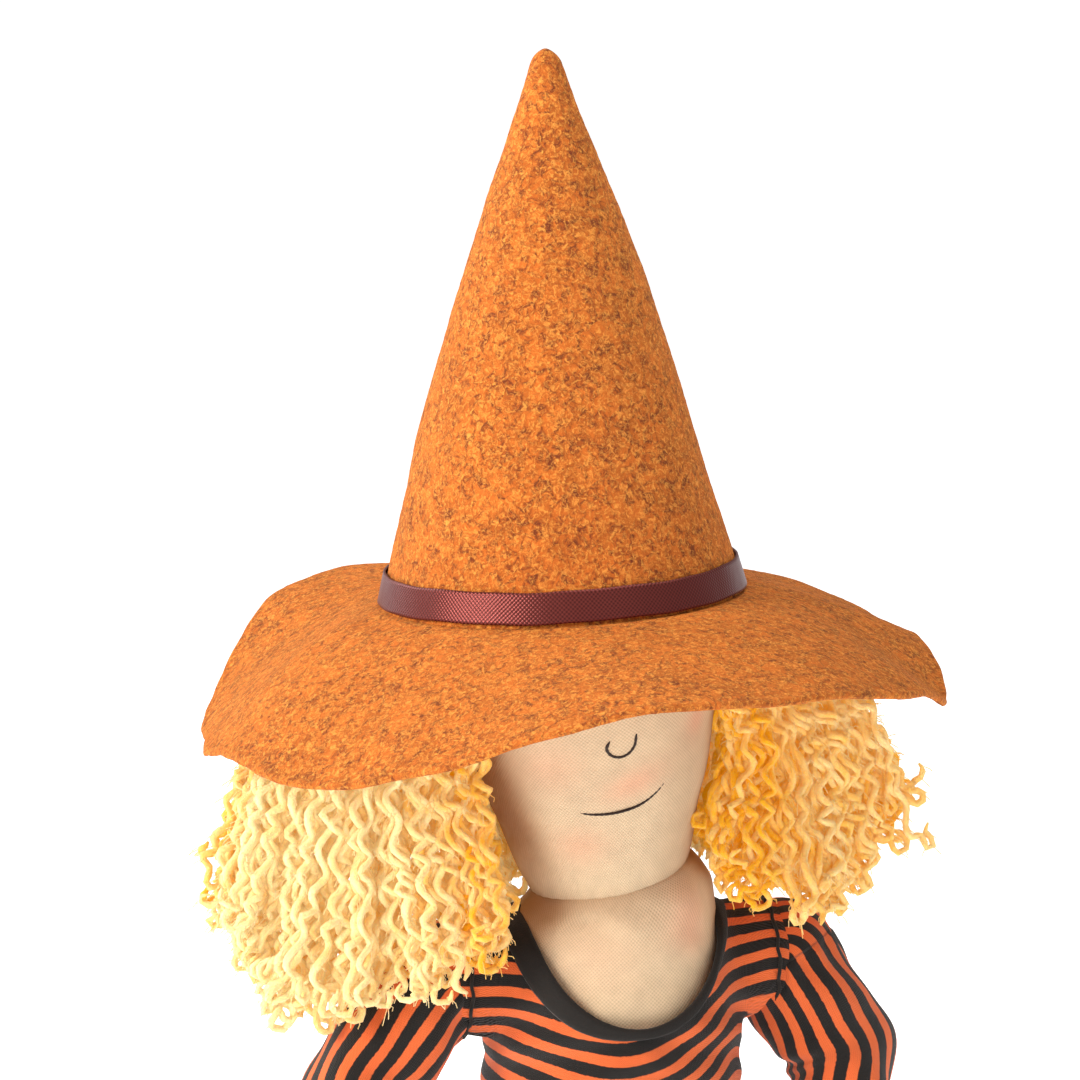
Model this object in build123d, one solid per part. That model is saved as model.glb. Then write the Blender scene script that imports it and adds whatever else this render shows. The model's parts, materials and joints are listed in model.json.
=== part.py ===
"""Witch hand puppet: a stuffed cloth head on a glove body, with jointed arms and a felt hat.

Millimetres, +Z up. The doll faces -Y, so its own right side is at -X. The origin is the
centre of the hand opening in the hem.
"""
from build123d import *
import math
import os

os.makedirs("parts", exist_ok=True)

# ---- driving dimensions -------------------------------------------------------------------
HAND_BORE_R = 42.0          # hand opening in the hem
FACING_HEIGHT = 22.0        # depth of the facing inside the hem
HEM_BAND_HEIGHT = 10.0
CLOTH = 1.6                 # jersey of the dress with its seams
MUSLIN = 1.1                # cotton skin and lining
FELT = 2.6                  # wool felt of the hat
CLEAR = 0.5                 # gap between pieces that move past each other
ARM_SWING_ROOM = 3.0        # extra width of the armhole below the sleeve top

HEAD_PIVOT = Vector(-4, 0, 240)     # centre of the round chin, which rolls in the neck
CHIN_R = 34.0
HEAD_AXIS = Vector(-0.14, -0.06, 0.988)
HEAD_RINGS = [(10, 34.6), (30, 40.5), (48, 44.0), (63, 41.0), (79, 30.0), (88, 15.0)]  # height, radius
FINGER_R = 9.5              # index finger tube in the head
TUBE_TOP = 262.0
TUBE_BOTTOM = 209.0

PASSAGE_R = 14.0            # finger passage through the neck
ROLL_LIMIT_R = 24.5         # radius of the recess that holds the two neck rolls

# level ellipses: height, half width, half depth
DRESS_RINGS = [(10, 61, 52), (60, 56, 47), (105, 48, 40.5), (150, 42.5, 37), (170, 42.5, 36.5),
               (185, 45, 35), (196, 45.5, 31.6), (207, 36.5, 29.6)]
CHEST_RINGS = [(164, 39, 31), (180, 40, 31.5), (192, 38, 29.4), (205, 33, 27), (218, 27, 26.5)]
LINING_RINGS = [(0, 45.6, 45.5), (24, 45.6, 45.3), (60, 45.5, 41.5), (105, 44, 36.5), (148, 39, 32),
                (164, 37, 29), (182, 35, 27)]

NECKLINE_Z = 213.0
NECKLINE_FRONT = (32.0, 35.0)       # half width and depth of the scoop
NECKLINE_BACK = (30.0, 13.0)
BINDING_WIDTH = 7.0
BINDING_THICK = 1.2

SHOULDER = Vector(58, 0, 190)       # mirrored for the right arm
SLEEVE_TOP_R = 18.5
SLEEVE_ELBOW_R = 16.0
WRIST_R = 12.5
SLEEVE_CLOTH = 1.3
STALL_R = 8.5                       # finger stall inside the upper sleeve
ELBOWS = {"right": Vector(-85, -6, 160), "left": Vector(76, -8, 156)}
WRISTS = {"right": Vector(-103, -22, 126), "left": Vector(73, -28, 122)}
HAND_LENGTH = 27.0

HAT_CENTRE = Vector(-20, -12, 315.5)
HAT_AXIS = Vector(-0.050, 0.012, 0.9987)
CONE_HEIGHT = 171.0
CONE_R = 57.3
CONE_OUTLINE = [(57.3, 0), (46.6, 42), (31.2, 93), (13.8, 143), (6.6, 162)]
BRIM_R = 118.0
BRIM_STEP = 11.25           # degrees between brim stations
# drop of the brim's rim at each angle round the hat, -90 being the front
BRIM_DROP = [(-180, 39.5), (-163, 36), (-145, 37), (-128, 31), (-110, 21), (-95, 14.5), (-80, 15.5),
             (-60, 19), (-40, 27), (-20, 34), (-5, 26.5), (12, 23.5), (34, 14.6), (60, 9), (90, 6),
             (115, 3), (130, 7), (148, 29), (164, 39.5)]
RIBBON_WIDTH = 9.5
RIBBON_THICK = 0.9


# ---- helpers ------------------------------------------------------------------------------
def save(name, shape):
    """Write one sub-part."""
    export_step(shape, f"parts/{name}.step")


def body_of_rings(rings, inset=0.0):
    """Upright solid through level ellipses, each drawn in by inset."""
    return loft([Plane(origin=(0, 0, z)) * Ellipse(a - inset, b - inset) for z, a, b in rings], ruled=True)


def ball(centre, radius):
    return Pos(*centre) * Sphere(radius)


def rod(start, end, r_start, r_end=None):
    """Round bar, or a taper when the two radii differ."""
    run = end - start
    plane = Plane(origin=start, z_dir=run)
    if r_end is None:
        return Part() + Solid.make_cylinder(r_start, run.length, plane)
    return Part() + Solid.make_cone(r_start, r_end, run.length, plane)


def capsule(start, end, r_start, r_end):
    """Two balls joined by the taper that touches both."""
    run = end - start
    lean = (r_start - r_end) / run.length
    across = math.sqrt(1 - lean * lean)
    half = math.sqrt(0.5)
    near = (r_start * across, r_start * lean)
    far = (r_end * across, run.length + r_end * lean)
    outline = [ThreePointArc((0, -r_start), (r_start * half, -r_start * half), near),
               Line(near, far),
               ThreePointArc(far, (r_end * half, run.length + r_end * half), (0, run.length + r_end)),
               Line((0, run.length + r_end), (0, -r_start))]
    return Plane(origin=start, z_dir=run) * revolve(Plane.XZ * make_face(Curve() + outline), axis=Axis.Z)


def stitched_line(points, radius):
    """A run of thick thread: short straight stitches with round ends."""
    line = ball(points[0], radius)
    for start, end in zip(points, points[1:]):
        line += rod(start, end, radius) + ball(end, radius)
    return line


def slab(low, high):
    """Axis-aligned block between two corners."""
    size = Vector(*high) - Vector(*low)
    return Pos(*low) * Box(size.X, size.Y, size.Z, align=(Align.MIN, Align.MIN, Align.MIN))


def ball_segment(centre, r_inner, r_outer, from_deg, to_deg, z_dir=(0, 0, 1)):
    """Ring cut from a thick ball, between two angles from the downward pole."""
    def at(radius, degrees):
        angle = math.radians(degrees)
        return (radius * math.sin(angle), -radius * math.cos(angle))

    middle = (from_deg + to_deg) / 2
    outline = [Line(at(r_inner, from_deg), at(r_outer, from_deg)),
               ThreePointArc(at(r_outer, from_deg), at(r_outer, middle), at(r_outer, to_deg)),
               Line(at(r_outer, to_deg), at(r_inner, to_deg)),
               ThreePointArc(at(r_inner, to_deg), at(r_inner, middle), at(r_inner, from_deg))]
    ring = revolve(Plane.XZ * make_face(Curve() + outline), axis=Axis.Z)
    return Plane(origin=centre, z_dir=z_dir) * ring


# ---- glove body ---------------------------------------------------------------------------
def neckline_cut(margin=0.0):
    """Scoop in front and shallow curve behind, as a cutter through the dress."""
    reach = 70
    front = Plane(origin=(0, 0, NECKLINE_Z), z_dir=(0, -1, 0))
    back = Plane(origin=(0, 0, NECKLINE_Z), z_dir=(0, 1, 0))
    scoop = Ellipse(NECKLINE_FRONT[1] + margin, NECKLINE_FRONT[0] + margin, rotation=90)
    nape = Ellipse(NECKLINE_BACK[0] + margin, NECKLINE_BACK[1] + margin)
    return [extrude(front * scoop, reach), extrude(back * nape, reach)]


def arm_clearance(side):
    """Armhole cutters: the sleeve's round top, and a roomier bar that the sleeve swings in."""
    sign = -1 if side == "right" else 1
    shoulder = Vector(sign * SHOULDER.X, SHOULDER.Y, SHOULDER.Z)
    return [ball(shoulder, SLEEVE_TOP_R + CLEAR),
            rod(shoulder, ELBOWS[side], SLEEVE_TOP_R + ARM_SWING_ROOM, SLEEVE_ELBOW_R + ARM_SWING_ROOM)]


def cut(shape, *cutters):
    """Take each cutter away in turn."""
    for cutter in cutters:
        shape = shape - cutter
    return shape


def neck_recess():
    """Round seat for the chin, and a deeper well in its middle where the neck rolls lie."""
    well = ball(HEAD_PIVOT, 41) & (Pos(HEAD_PIVOT.X, 0, 200) * Cylinder(ROLL_LIMIT_R, 60))
    return [ball(HEAD_PIVOT, CHIN_R + CLEAR), well]


def finger_passage():
    return Pos(HEAD_PIVOT.X, 0, 200) * Cylinder(PASSAGE_R, 80)


armholes = [*arm_clearance("right"), *arm_clearance("left")]
recess = neck_recess()

facing = Cylinder(HAND_BORE_R + MUSLIN, FACING_HEIGHT) - Cylinder(HAND_BORE_R, FACING_HEIGHT)
save("wrist_facing", Pos(0, 0, FACING_HEIGHT / 2) * facing)

lining_inside = [(-1, *LINING_RINGS[0][1:]), *LINING_RINGS[1:-1], (181, 34.8, 26.8)]
lining = body_of_rings(LINING_RINGS) - body_of_rings(lining_inside, MUSLIN)
save("glove_lining", cut(lining, finger_passage(), *armholes))

chest = body_of_rings(CHEST_RINGS) - body_of_rings(
    [(CHEST_RINGS[0][0] - 1, *CHEST_RINGS[0][1:]), *CHEST_RINGS[1:-1], (219, 26.9, 26.4)], MUSLIN)
save("chest_skin", cut(chest, *recess, *armholes))

padding = body_of_rings(CHEST_RINGS, MUSLIN + 0.15) & slab((-60, -60, 184), (60, 60, 230))
save("neck_padding", cut(padding, finger_passage(), *recess, *armholes))

dress_inside = [(9, *DRESS_RINGS[0][1:]), *DRESS_RINGS[1:-1], (207.5, 36.3, 29.4)]
dress = cut(body_of_rings(DRESS_RINGS), body_of_rings(dress_inside, CLOTH), *neckline_cut(), *armholes)
save("dress_front", dress & slab((-80, -80, 0), (80, -0.05, 240)))
save("dress_back", dress & slab((-80, 0.05, 0), (80, 80, 240)))

hem_outer, hem_inner = DRESS_RINGS[0][1] + 0.8, DRESS_RINGS[0][1] - CLOTH
hem_depth_outer, hem_depth_inner = DRESS_RINGS[0][2] + 0.8, DRESS_RINGS[0][2] - CLOTH
hem = extrude(Ellipse(hem_outer, hem_depth_outer) - Ellipse(hem_inner, hem_depth_inner),
              HEM_BAND_HEIGHT - 0.1)
save("hem_band", hem)

binding = body_of_rings(DRESS_RINGS, -0.4 - BINDING_THICK) - body_of_rings(dress_inside, -0.4)
front_strip, back_strip = neckline_cut(BINDING_WIDTH)
strip = (binding & front_strip) + (binding & back_strip)
save("neckline_binding", cut(strip, *neckline_cut(), *armholes))

# ---- neck: two rolls of wadding between the chest and the round chin ---------------------------
save("neck_roll_lower", ball_segment(HEAD_PIVOT, 37.7, 40.5, 22, 36))
save("neck_roll_upper", ball_segment(HEAD_PIVOT, 34.4 + 0.1, 37.3, 18, 27))

# ---- head -----------------------------------------------------------------------------------
head_plane = Plane(origin=HEAD_PIVOT, x_dir=(1, 0, 0.1417), z_dir=HEAD_AXIS)


def head_solid(offset=0.0):
    """Head with its surface moved out by offset: a round chin that widens to the temples."""
    chin = CHIN_R + offset
    top = HEAD_RINGS[-1][0] + 4 + offset
    side = Spline([(chin, 0), *[(r + offset, h) for h, r in HEAD_RINGS], (0, top)],
                  tangents=[(0, 1), (-1, 0)])
    outline = [ThreePointArc((0, -chin), (chin * math.sin(math.pi / 4), -chin * math.cos(math.pi / 4)),
                             (chin, 0)), side, Line((0, top), (0, -chin))]
    return head_plane * revolve(Plane.XZ * make_face(Curve() + outline), axis=Axis.Z)


def on_face(height, degrees, proud):
    """Point on the head, height above the pivot along its axis, degrees round from the front."""
    stations = [(0, CHIN_R), *HEAD_RINGS]
    for (h0, r0), (h1, r1) in zip(stations, stations[1:]):
        if h0 <= height <= h1:
            radius = r0 + (r1 - r0) * (height - h0) / (h1 - h0) + proud
    angle = math.radians(degrees - 90)
    return head_plane.from_local_coords(Vector(radius * math.cos(angle), radius * math.sin(angle), height))


tube_axis = Pos(HEAD_PIVOT.X, 0, (TUBE_TOP + TUBE_BOTTOM) / 2)
tube_length = TUBE_TOP - TUBE_BOTTOM
finger_hole = Pos(HEAD_PIVOT.X, 0, TUBE_TOP + 1 - 45) * Cylinder(FINGER_R + 1.2, 90)
head_outer = head_solid()
save("head_skin", head_outer - head_solid(-MUSLIN) - (finger_hole & slab((-60, -60, 150), (60, 60, 225))))
save("head_stuffing", head_solid(-MUSLIN - 0.2) - finger_hole)
save("head_finger_tube", tube_axis * (Cylinder(FINGER_R + 1, tube_length) - Cylinder(FINGER_R, tube_length)))

nose = [on_face(36, -6, 1.5), on_face(32, -3, 1.2), on_face(32, 2, 1.2), on_face(37, 5, 1.6)]
save("nose_stitch", stitched_line(nose, 0.7))
mouth = [on_face(14, -24, 1.1), on_face(12, -12, 1.1), on_face(13, 7, 1.1), on_face(18, 21, 1.1)]
save("mouth_stitch", stitched_line(mouth, 0.6))
for side, degrees in (("right", -20), ("left", 20)):
    save(f"{side}_eye_stitch", ball(on_face(54, degrees, 0.6), 2.2) - head_solid(0.2))

# ---- yarn hair ------------------------------------------------------------------------------
HAIRLINE = Plane(origin=head_plane.from_local_coords(Vector(0, 0, 58)), z_dir=(-0.1, 0.62, 0.78))
scalp_side = HAIRLINE * Pos(0, 0, 60) * Box(200, 200, 120)
crown = (head_solid(4.2) - head_solid(0.4)) & scalp_side
save("hair_crown", crown)
parting_strip = head_plane * Pos(0, 0, 60) * Box(1.6, 200, 120)
save("parting_stitch", (head_solid(5.6) - head_solid(4.4)) & scalp_side & parting_strip)

under_hat = head_solid(5.9)
back_curtain = (head_solid(11) - under_hat) & slab((-60, 12, 222), (60, 70, 296))
save("hair_back", back_curtain)


def lock(points):
    """Hanging bundle of yarn through centres with radii."""
    bundle = None
    for (start, r_start), (end, r_end) in zip(points, points[1:]):
        piece = capsule(Vector(*start), Vector(*end), r_start, r_end)
        bundle = piece if bundle is None else bundle + piece
    return bundle


hair_clear = [under_hat, body_of_rings(DRESS_RINGS, -BINDING_THICK - 0.8), *armholes,
              body_of_rings(CHEST_RINGS, -CLEAR), head_solid(11.6) & slab((-60, 11, 200), (60, 70, 300))]
right_hair = lock([((-50, -8, 276), 8), ((-68, -14, 254), 14), ((-96, -18, 234), 22),
                   ((-104, -20, 214), 20), ((-98, -24, 194), 12)])
right_hair += lock([((-47, -14, 270), 8), ((-56, -24, 240), 14), ((-62, -28, 210), 13)])
save("hair_right", cut(right_hair, *hair_clear))
left_hair = lock([((40, -6, 278), 7), ((58, -8, 264), 11), ((80, -10, 250), 14), ((80, -10, 226), 12)])
left_hair += lock([((42, -12, 262), 8), ((52, -20, 236), 11), ((60, -22, 222), 8)])
save("hair_left", cut(left_hair, *hair_clear))

# ---- arms -----------------------------------------------------------------------------------
def make_arm(side):
    """Sleeve with a finger stall, and a stuffed forearm that ends in a mitten hand."""
    sign = -1 if side == "right" else 1
    shoulder = Vector(sign * SHOULDER.X, SHOULDER.Y, SHOULDER.Z)
    elbow, wrist = ELBOWS[side], WRISTS[side]
    upper = (elbow - shoulder).normalized()
    lower = (wrist - elbow).normalized()

    save(f"{side}_arm_root", ball_segment(shoulder, 13.4, SLEEVE_TOP_R - SLEEVE_CLOTH - CLEAR, 40, 60,
                                          z_dir=(sign, 0, 0)))

    sleeve = capsule(shoulder, elbow, SLEEVE_TOP_R, SLEEVE_ELBOW_R + 1)
    inside = capsule(shoulder, elbow, SLEEVE_TOP_R - SLEEVE_CLOTH, SLEEVE_ELBOW_R + 1 - SLEEVE_CLOTH)
    entry = rod(shoulder, shoulder - Vector(sign * 30, 0, 0), 11.5)
    forward = (Vector(0, -1, 0) + upper * upper.Y).normalized()
    mouth_cut = Plane(origin=elbow - upper * (SLEEVE_ELBOW_R / 2 + 2), z_dir=upper + forward * 0.6)
    save(f"{side}_upper_sleeve", cut(sleeve, inside, entry, ball(elbow, SLEEVE_ELBOW_R + CLEAR),
                                     mouth_cut * Pos(0, 0, 40) * Box(120, 120, 80)))

    stall_end = (elbow - shoulder).length - SLEEVE_ELBOW_R - CLEAR - 1
    stall = rod(shoulder + upper * 3, shoulder + upper * stall_end, STALL_R + 1)
    save(f"{side}_finger_stall", stall - rod(shoulder, shoulder + upper * (stall_end - 1), STALL_R))

    cloth = SLEEVE_CLOTH + 0.15
    past_wrist = Plane(origin=wrist, z_dir=lower) * Pos(0, 0, 30) * Box(80, 80, 60)
    save(f"{side}_forearm_stuffing", cut(capsule(elbow, wrist, SLEEVE_ELBOW_R - cloth, WRIST_R - cloth),
                                         past_wrist))
    save(f"{side}_forearm_sleeve", cut(
        capsule(elbow, wrist, SLEEVE_ELBOW_R, WRIST_R),
        capsule(elbow, wrist, SLEEVE_ELBOW_R - SLEEVE_CLOTH, WRIST_R - SLEEVE_CLOTH), past_wrist))
    save(f"{side}_cuff", rod(wrist + lower * 0.1, wrist + lower * 5, WRIST_R + 0.6)
         - rod(wrist, wrist + lower * 6, WRIST_R - 3))

    palm = wrist + lower * 14
    tip = wrist + lower * (HAND_LENGTH - 7)
    thumb = palm + Vector(-sign * 9, -3, -2)
    hand = rod(wrist + lower * 0.3, palm, WRIST_R - 3.3, 9.5) + capsule(palm, tip, 9.5, 7)
    hand += capsule(palm, thumb, 5, 4)
    save(f"{side}_hand", hand)


make_arm("right")
make_arm("left")

# ---- hat ------------------------------------------------------------------------------------
hat_plane = Plane(origin=HAT_CENTRE, x_dir=(1, 0, 0.0501), z_dir=HAT_AXIS)


def cone_solid(offset=0.0, low=0.0, high=None):
    """Tall cone with slightly full sides and a rounded tip, its surface moved out by offset."""
    base = CONE_OUTLINE[0][0] + offset
    tip_h = CONE_HEIGHT + offset
    sides = Spline([*[(r + offset, h) for r, h in CONE_OUTLINE], (0, tip_h)],
                   tangents=[(-0.2, 1), (-1, 0)], tangent_scalars=[1, 0.4])
    foot = [Line((0, tip_h), (0, 0)), Line((0, 0), (base, 0))]
    solid = revolve(Plane.XZ * make_face(Curve() + [sides, *foot]), axis=Axis.Z)
    if high is not None:
        solid &= Pos(0, 0, (low + high) / 2) * Cylinder(200, high - low)
    return solid


def rim_drop(degrees):
    """Smooth height of the rim between the named stations."""
    stations = [*BRIM_DROP, (BRIM_DROP[0][0] + 360, BRIM_DROP[0][1])]
    for (a0, d0), (a1, d1) in zip(stations, stations[1:]):
        if a0 <= degrees <= a1:
            share = (degrees - a0) / (a1 - a0)
            return d0 + (d1 - d0) * share * share * (3 - 2 * share)
    raise ValueError(degrees)


def make_brim():
    """Wavy felt brim from flat-sided stations, two rings wide."""
    radii = [(CONE_R + 0.2, 0.0), (92.0, 0.42), (BRIM_R, 1.0)]
    count = round(360 / BRIM_STEP)
    angles = [-180 + BRIM_STEP * i for i in range(count)]

    def point(ring, index, depth):
        radius, share = radii[ring]
        degrees = angles[index % count]
        angle = math.radians(degrees)
        return Vector(radius * math.cos(angle), radius * math.sin(angle), -rim_drop(degrees) * share - depth)

    def patch(a, b, c, d):
        return Face.make_surface_from_curves(Edge.make_line(a, b), Edge.make_line(d, c))

    faces = []
    last = len(radii) - 1
    for i in range(count):
        for depth in (0.0, FELT):
            for ring in range(last):
                faces.append(patch(point(ring, i, depth), point(ring, i + 1, depth),
                                   point(ring + 1, i + 1, depth), point(ring + 1, i, depth)))
        for ring in (0, last):
            faces.append(patch(point(ring, i, 0.0), point(ring, i + 1, 0.0),
                               point(ring, i + 1, FELT), point(ring, i, FELT)))
    return Solid(Shell(faces))


save("hat_brim", hat_plane * make_brim())
cone_bore = cone_solid(-FELT) + Pos(0, 0, -5) * Cylinder(CONE_R - FELT, 10)
save("hat_cone", hat_plane * (cone_solid() - cone_bore))
band = cone_solid(0.15 + RIBBON_THICK, 0.4, 0.4 + RIBBON_WIDTH) - cone_solid(0.15)
save("hat_ribbon", hat_plane * band)
lap = (cone_solid(0.3 + 2 * RIBBON_THICK, 0.4, 0.4 + RIBBON_WIDTH) - cone_solid(0.3 + RIBBON_THICK))
save("hat_ribbon_lap", hat_plane * (lap & slab((-9, 0, -5), (9, 90, 20))))
sweatband = cone_solid(-FELT - 0.2, 0.2, 12) - cone_solid(-FELT - 1.2)
save("hat_sweatband", hat_plane * sweatband)
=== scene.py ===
"""Witch hand puppet in wool felt, crinkled yarn, calico and striped jersey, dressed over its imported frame."""
import json
import math
import random

import bmesh
import bpy
import numpy as np
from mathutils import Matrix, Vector, noise


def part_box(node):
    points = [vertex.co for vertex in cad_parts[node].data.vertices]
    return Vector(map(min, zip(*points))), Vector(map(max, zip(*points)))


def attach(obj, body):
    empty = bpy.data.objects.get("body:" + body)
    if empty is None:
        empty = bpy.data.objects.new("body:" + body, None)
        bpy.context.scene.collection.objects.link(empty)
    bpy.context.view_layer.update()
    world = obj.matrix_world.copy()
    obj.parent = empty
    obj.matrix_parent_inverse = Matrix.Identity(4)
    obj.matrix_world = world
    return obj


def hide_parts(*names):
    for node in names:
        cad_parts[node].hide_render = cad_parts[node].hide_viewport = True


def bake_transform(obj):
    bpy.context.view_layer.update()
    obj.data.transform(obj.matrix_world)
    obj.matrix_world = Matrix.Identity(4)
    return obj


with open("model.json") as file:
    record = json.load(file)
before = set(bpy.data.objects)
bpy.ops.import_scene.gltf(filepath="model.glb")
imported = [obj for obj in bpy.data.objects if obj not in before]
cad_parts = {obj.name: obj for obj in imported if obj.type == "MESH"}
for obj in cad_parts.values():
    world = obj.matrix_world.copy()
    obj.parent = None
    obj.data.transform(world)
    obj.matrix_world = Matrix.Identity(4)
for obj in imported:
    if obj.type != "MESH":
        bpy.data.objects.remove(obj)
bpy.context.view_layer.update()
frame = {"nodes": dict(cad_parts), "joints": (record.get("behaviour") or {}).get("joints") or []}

bl_info = {
    "name": "Witch hand puppet",
    "version": (1, 0, 0),
    "blender": (4, 5, 0),
    "location": "3D View > Sidebar > Puppet",
    "description": "Builds a cloth witch hand puppet round its jointed frame",
    "category": "Add Mesh",
}

# ---- the frame, in millimetres -------------------------------------------------------------
MM = 0.001
JOINTS = {joint["name"]: joint for joint in frame["joints"]}
SIDES = {"right": -1, "left": 1}        # the doll's own sides; its right is at -X


def joint_point(name):
    return np.array(JOINTS[name]["pos_m"]) / MM


def node_box(name):
    low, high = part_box(name)
    return np.array(low) / MM, np.array(high) / MM


HEAD_PIVOT = joint_point("head_nod")
SHOULDER = {side: joint_point(f"{side}_arm_swing") for side in SIDES}
ELBOW = {side: joint_point(f"{side}_elbow_bend") for side in SIDES}
HAT_AXIS = np.array(JOINTS["hat_lift"]["axis"])
RIBBON_MIDDLE = 5.15                     # height of the ribbon's middle above the cone's foot
HAT_CENTRE = sum(node_box("hat_ribbon")) / 2 - HAT_AXIS * RIBBON_MIDDLE
HEAD_AXIS = np.array([-0.14, -0.06, 0.988]) / np.linalg.norm([-0.14, -0.06, 0.988])
HEM_Z = node_box("hem_band")[0][2]


# ---- settings ------------------------------------------------------------------------------
def hex_linear(code):
    """sRGB hex to linear red, green and blue."""
    parts = [int(code[i:i + 2], 16) / 255 for i in (1, 3, 5)]
    return tuple(c / 12.92 if c <= 0.04045 else ((c + 0.055) / 1.055) ** 2.4 for c in parts)


def length_setting(label, text, size_mm):
    return bpy.props.FloatProperty(name=label, description=text, default=size_mm * MM, unit="LENGTH",
                                   precision=4)


def colour_setting(label, text, code):
    return bpy.props.FloatVectorProperty(name=label, description=text, default=hex_linear(code), size=3,
                                         subtype="COLOR", min=0.0, max=1.0)


class HatSettings(bpy.types.PropertyGroup):
    """Sizes and colours of the felt hat."""
    cone_height: length_setting("Cone height", "Height of the felt cone", 171.5)
    cone_radius: length_setting("Cone radius", "Radius of the cone at its foot", 57.3)
    brim_radius: length_setting("Brim radius", "Radius of the brim along its slope", 118)
    felt: length_setting("Felt thickness", "Thickness of the wool felt", 2.6)
    ribbon_width: length_setting("Ribbon width", "Width of the satin hat band", 9.5)
    felt_colour: colour_setting("Felt", "Main wool colour", "#bf6120")
    felt_dark: colour_setting("Dark wool", "Rust wool in the blend", "#6a2c17")
    felt_light: colour_setting("Light wool", "Gold wool in the blend", "#f0a046")
    ribbon_colour: colour_setting("Ribbon", "Colour of the satin hat band", "#662a26")


class DollSettings(bpy.types.PropertyGroup):
    """Sizes and colours of the head, the hair and the clothes."""
    stripe_pitch: length_setting("Stripe pitch", "One orange and one black stripe together", 7.4)
    yarn: length_setting("Yarn", "Thickness of a strand of hair", 2.5)
    binding_width: length_setting("Binding width", "Width of the neckline binding", 7.0)
    calico: colour_setting("Calico", "Colour of the cotton skin", "#d9bf9d")
    blush: colour_setting("Blush", "Colour rubbed into the cheeks", "#e08f72")
    # the brown of this setting also paints the shade on the head and the chest
    stain_and_shade: colour_setting("Stain", "Brown shading rubbed in at the hairline", "#8a5a34")
    stripe_light: colour_setting("Light stripe", "Orange of the jersey", "#ea6c35")
    stripe_dark: colour_setting("Dark stripe", "Black of the jersey", "#181412")
    yarn_light: colour_setting("Light yarn", "Outer strands of the hair", "#ffe2a2")
    # the deep yarn colour also paints the shade in the depth of the hair
    yarn_deep: colour_setting("Deep yarn", "Strands in the depth of the hair", "#f7ad08")
    thread: colour_setting("Thread", "Thread of the nose and the mouth", "#30231d")
    binding: colour_setting("Binding", "Colour of the neckline binding", "#1d1a18")


def hat_settings():
    return bpy.context.scene.puppet_hat


def doll_settings():
    return bpy.context.scene.puppet_doll


# ---- shape helpers ---------------------------------------------------------------------------
def smooth_curve(points):
    """Function through (place, value) points with no overshoot worth seeing."""
    x, y = np.array(points, float).T
    slope = np.gradient(y, x)

    def value(at):
        at = np.clip(at, x[0], x[-1])
        i = np.clip(np.searchsorted(x, at, side="right") - 1, 0, len(x) - 2)
        step = x[i + 1] - x[i]
        t = (at - x[i]) / step
        return ((2 * t**3 - 3 * t**2 + 1) * y[i] + (t**3 - 2 * t**2 + t) * step * slope[i]
                + (3 * t**2 - 2 * t**3) * y[i + 1] + (t**3 - t**2) * step * slope[i + 1])
    return value


def ease(low, high, value):
    """0 below low, 1 above high, and smooth between."""
    t = np.clip((value - low) / (high - low), 0, 1)
    return t * t * (3 - 2 * t)


def unit(vector):
    return vector / np.linalg.norm(vector)


def axes_about(axis, sideways):
    """Three right-angled directions, the third along axis and the first nearest to sideways."""
    across = unit(sideways - axis * np.dot(sideways, axis))
    return across, np.cross(axis, across), axis


def bumps(points, size, seed=0.0):
    """Smooth noise, about -1 to 1, over an array of points, with lumps of the given size."""
    flat = points.reshape(-1, 3) / size + seed
    values = [noise.noise(Vector(p)) for p in flat]
    return np.array(values).reshape(points.shape[:-1])


def finish_mesh(name, mesh, material, weld=False):
    """Faces turned outwards, coincident points joined if asked, and the material put on."""
    work = bmesh.new()
    work.from_mesh(mesh)
    if weld:
        bmesh.ops.remove_doubles(work, verts=work.verts, dist=2e-6)
    bmesh.ops.recalc_face_normals(work, faces=work.faces)
    work.to_mesh(mesh)
    work.free()
    mesh.polygons.foreach_set("use_smooth", [True] * len(mesh.polygons))
    mesh.update()
    piece = bpy.data.objects.new(name, mesh)
    bpy.context.scene.collection.objects.link(piece)
    piece.data.materials.append(material)
    return piece


def cloth_grid(name, points, material, uv=None, loop_rows=False, loop_cols=True, tints=None, weld=False):
    """Surface over a grid of points in millimetres, with a cloth UV map in metres and named tints."""
    rows, cols = points.shape[:2]
    r, c = np.meshgrid(np.arange(rows if loop_rows else rows - 1),
                       np.arange(cols if loop_cols else cols - 1), indexing="ij")
    next_r, next_c = (r + 1) % rows, (c + 1) % cols
    faces = np.stack([r * cols + c, r * cols + next_c, next_r * cols + next_c, next_r * cols + c], -1)
    mesh = bpy.data.meshes.new(name)
    mesh.from_pydata((points.reshape(-1, 3) * MM).tolist(), [], faces.reshape(-1, 4).tolist())
    if uv is not None:
        corners = np.stack([uv[r, c], uv[r, c + 1], uv[r + 1, c + 1], uv[r + 1, c]], 2) * MM
        mesh.uv_layers.new(name="cloth").data.foreach_set("uv", corners.astype(np.float32).ravel())
    for tint, values in (tints or {}).items():
        layer = mesh.attributes.new(tint, "FLOAT", "POINT")
        layer.data.foreach_set("value", values.astype(np.float32).ravel())
    return finish_mesh(name, mesh, material, weld=weld)


def flat_uv(columns, rows):
    """UV grid from the distance along each column and row, in millimetres."""
    u, v = np.meshgrid(columns, rows)
    return np.stack([u, v], -1)


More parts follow.
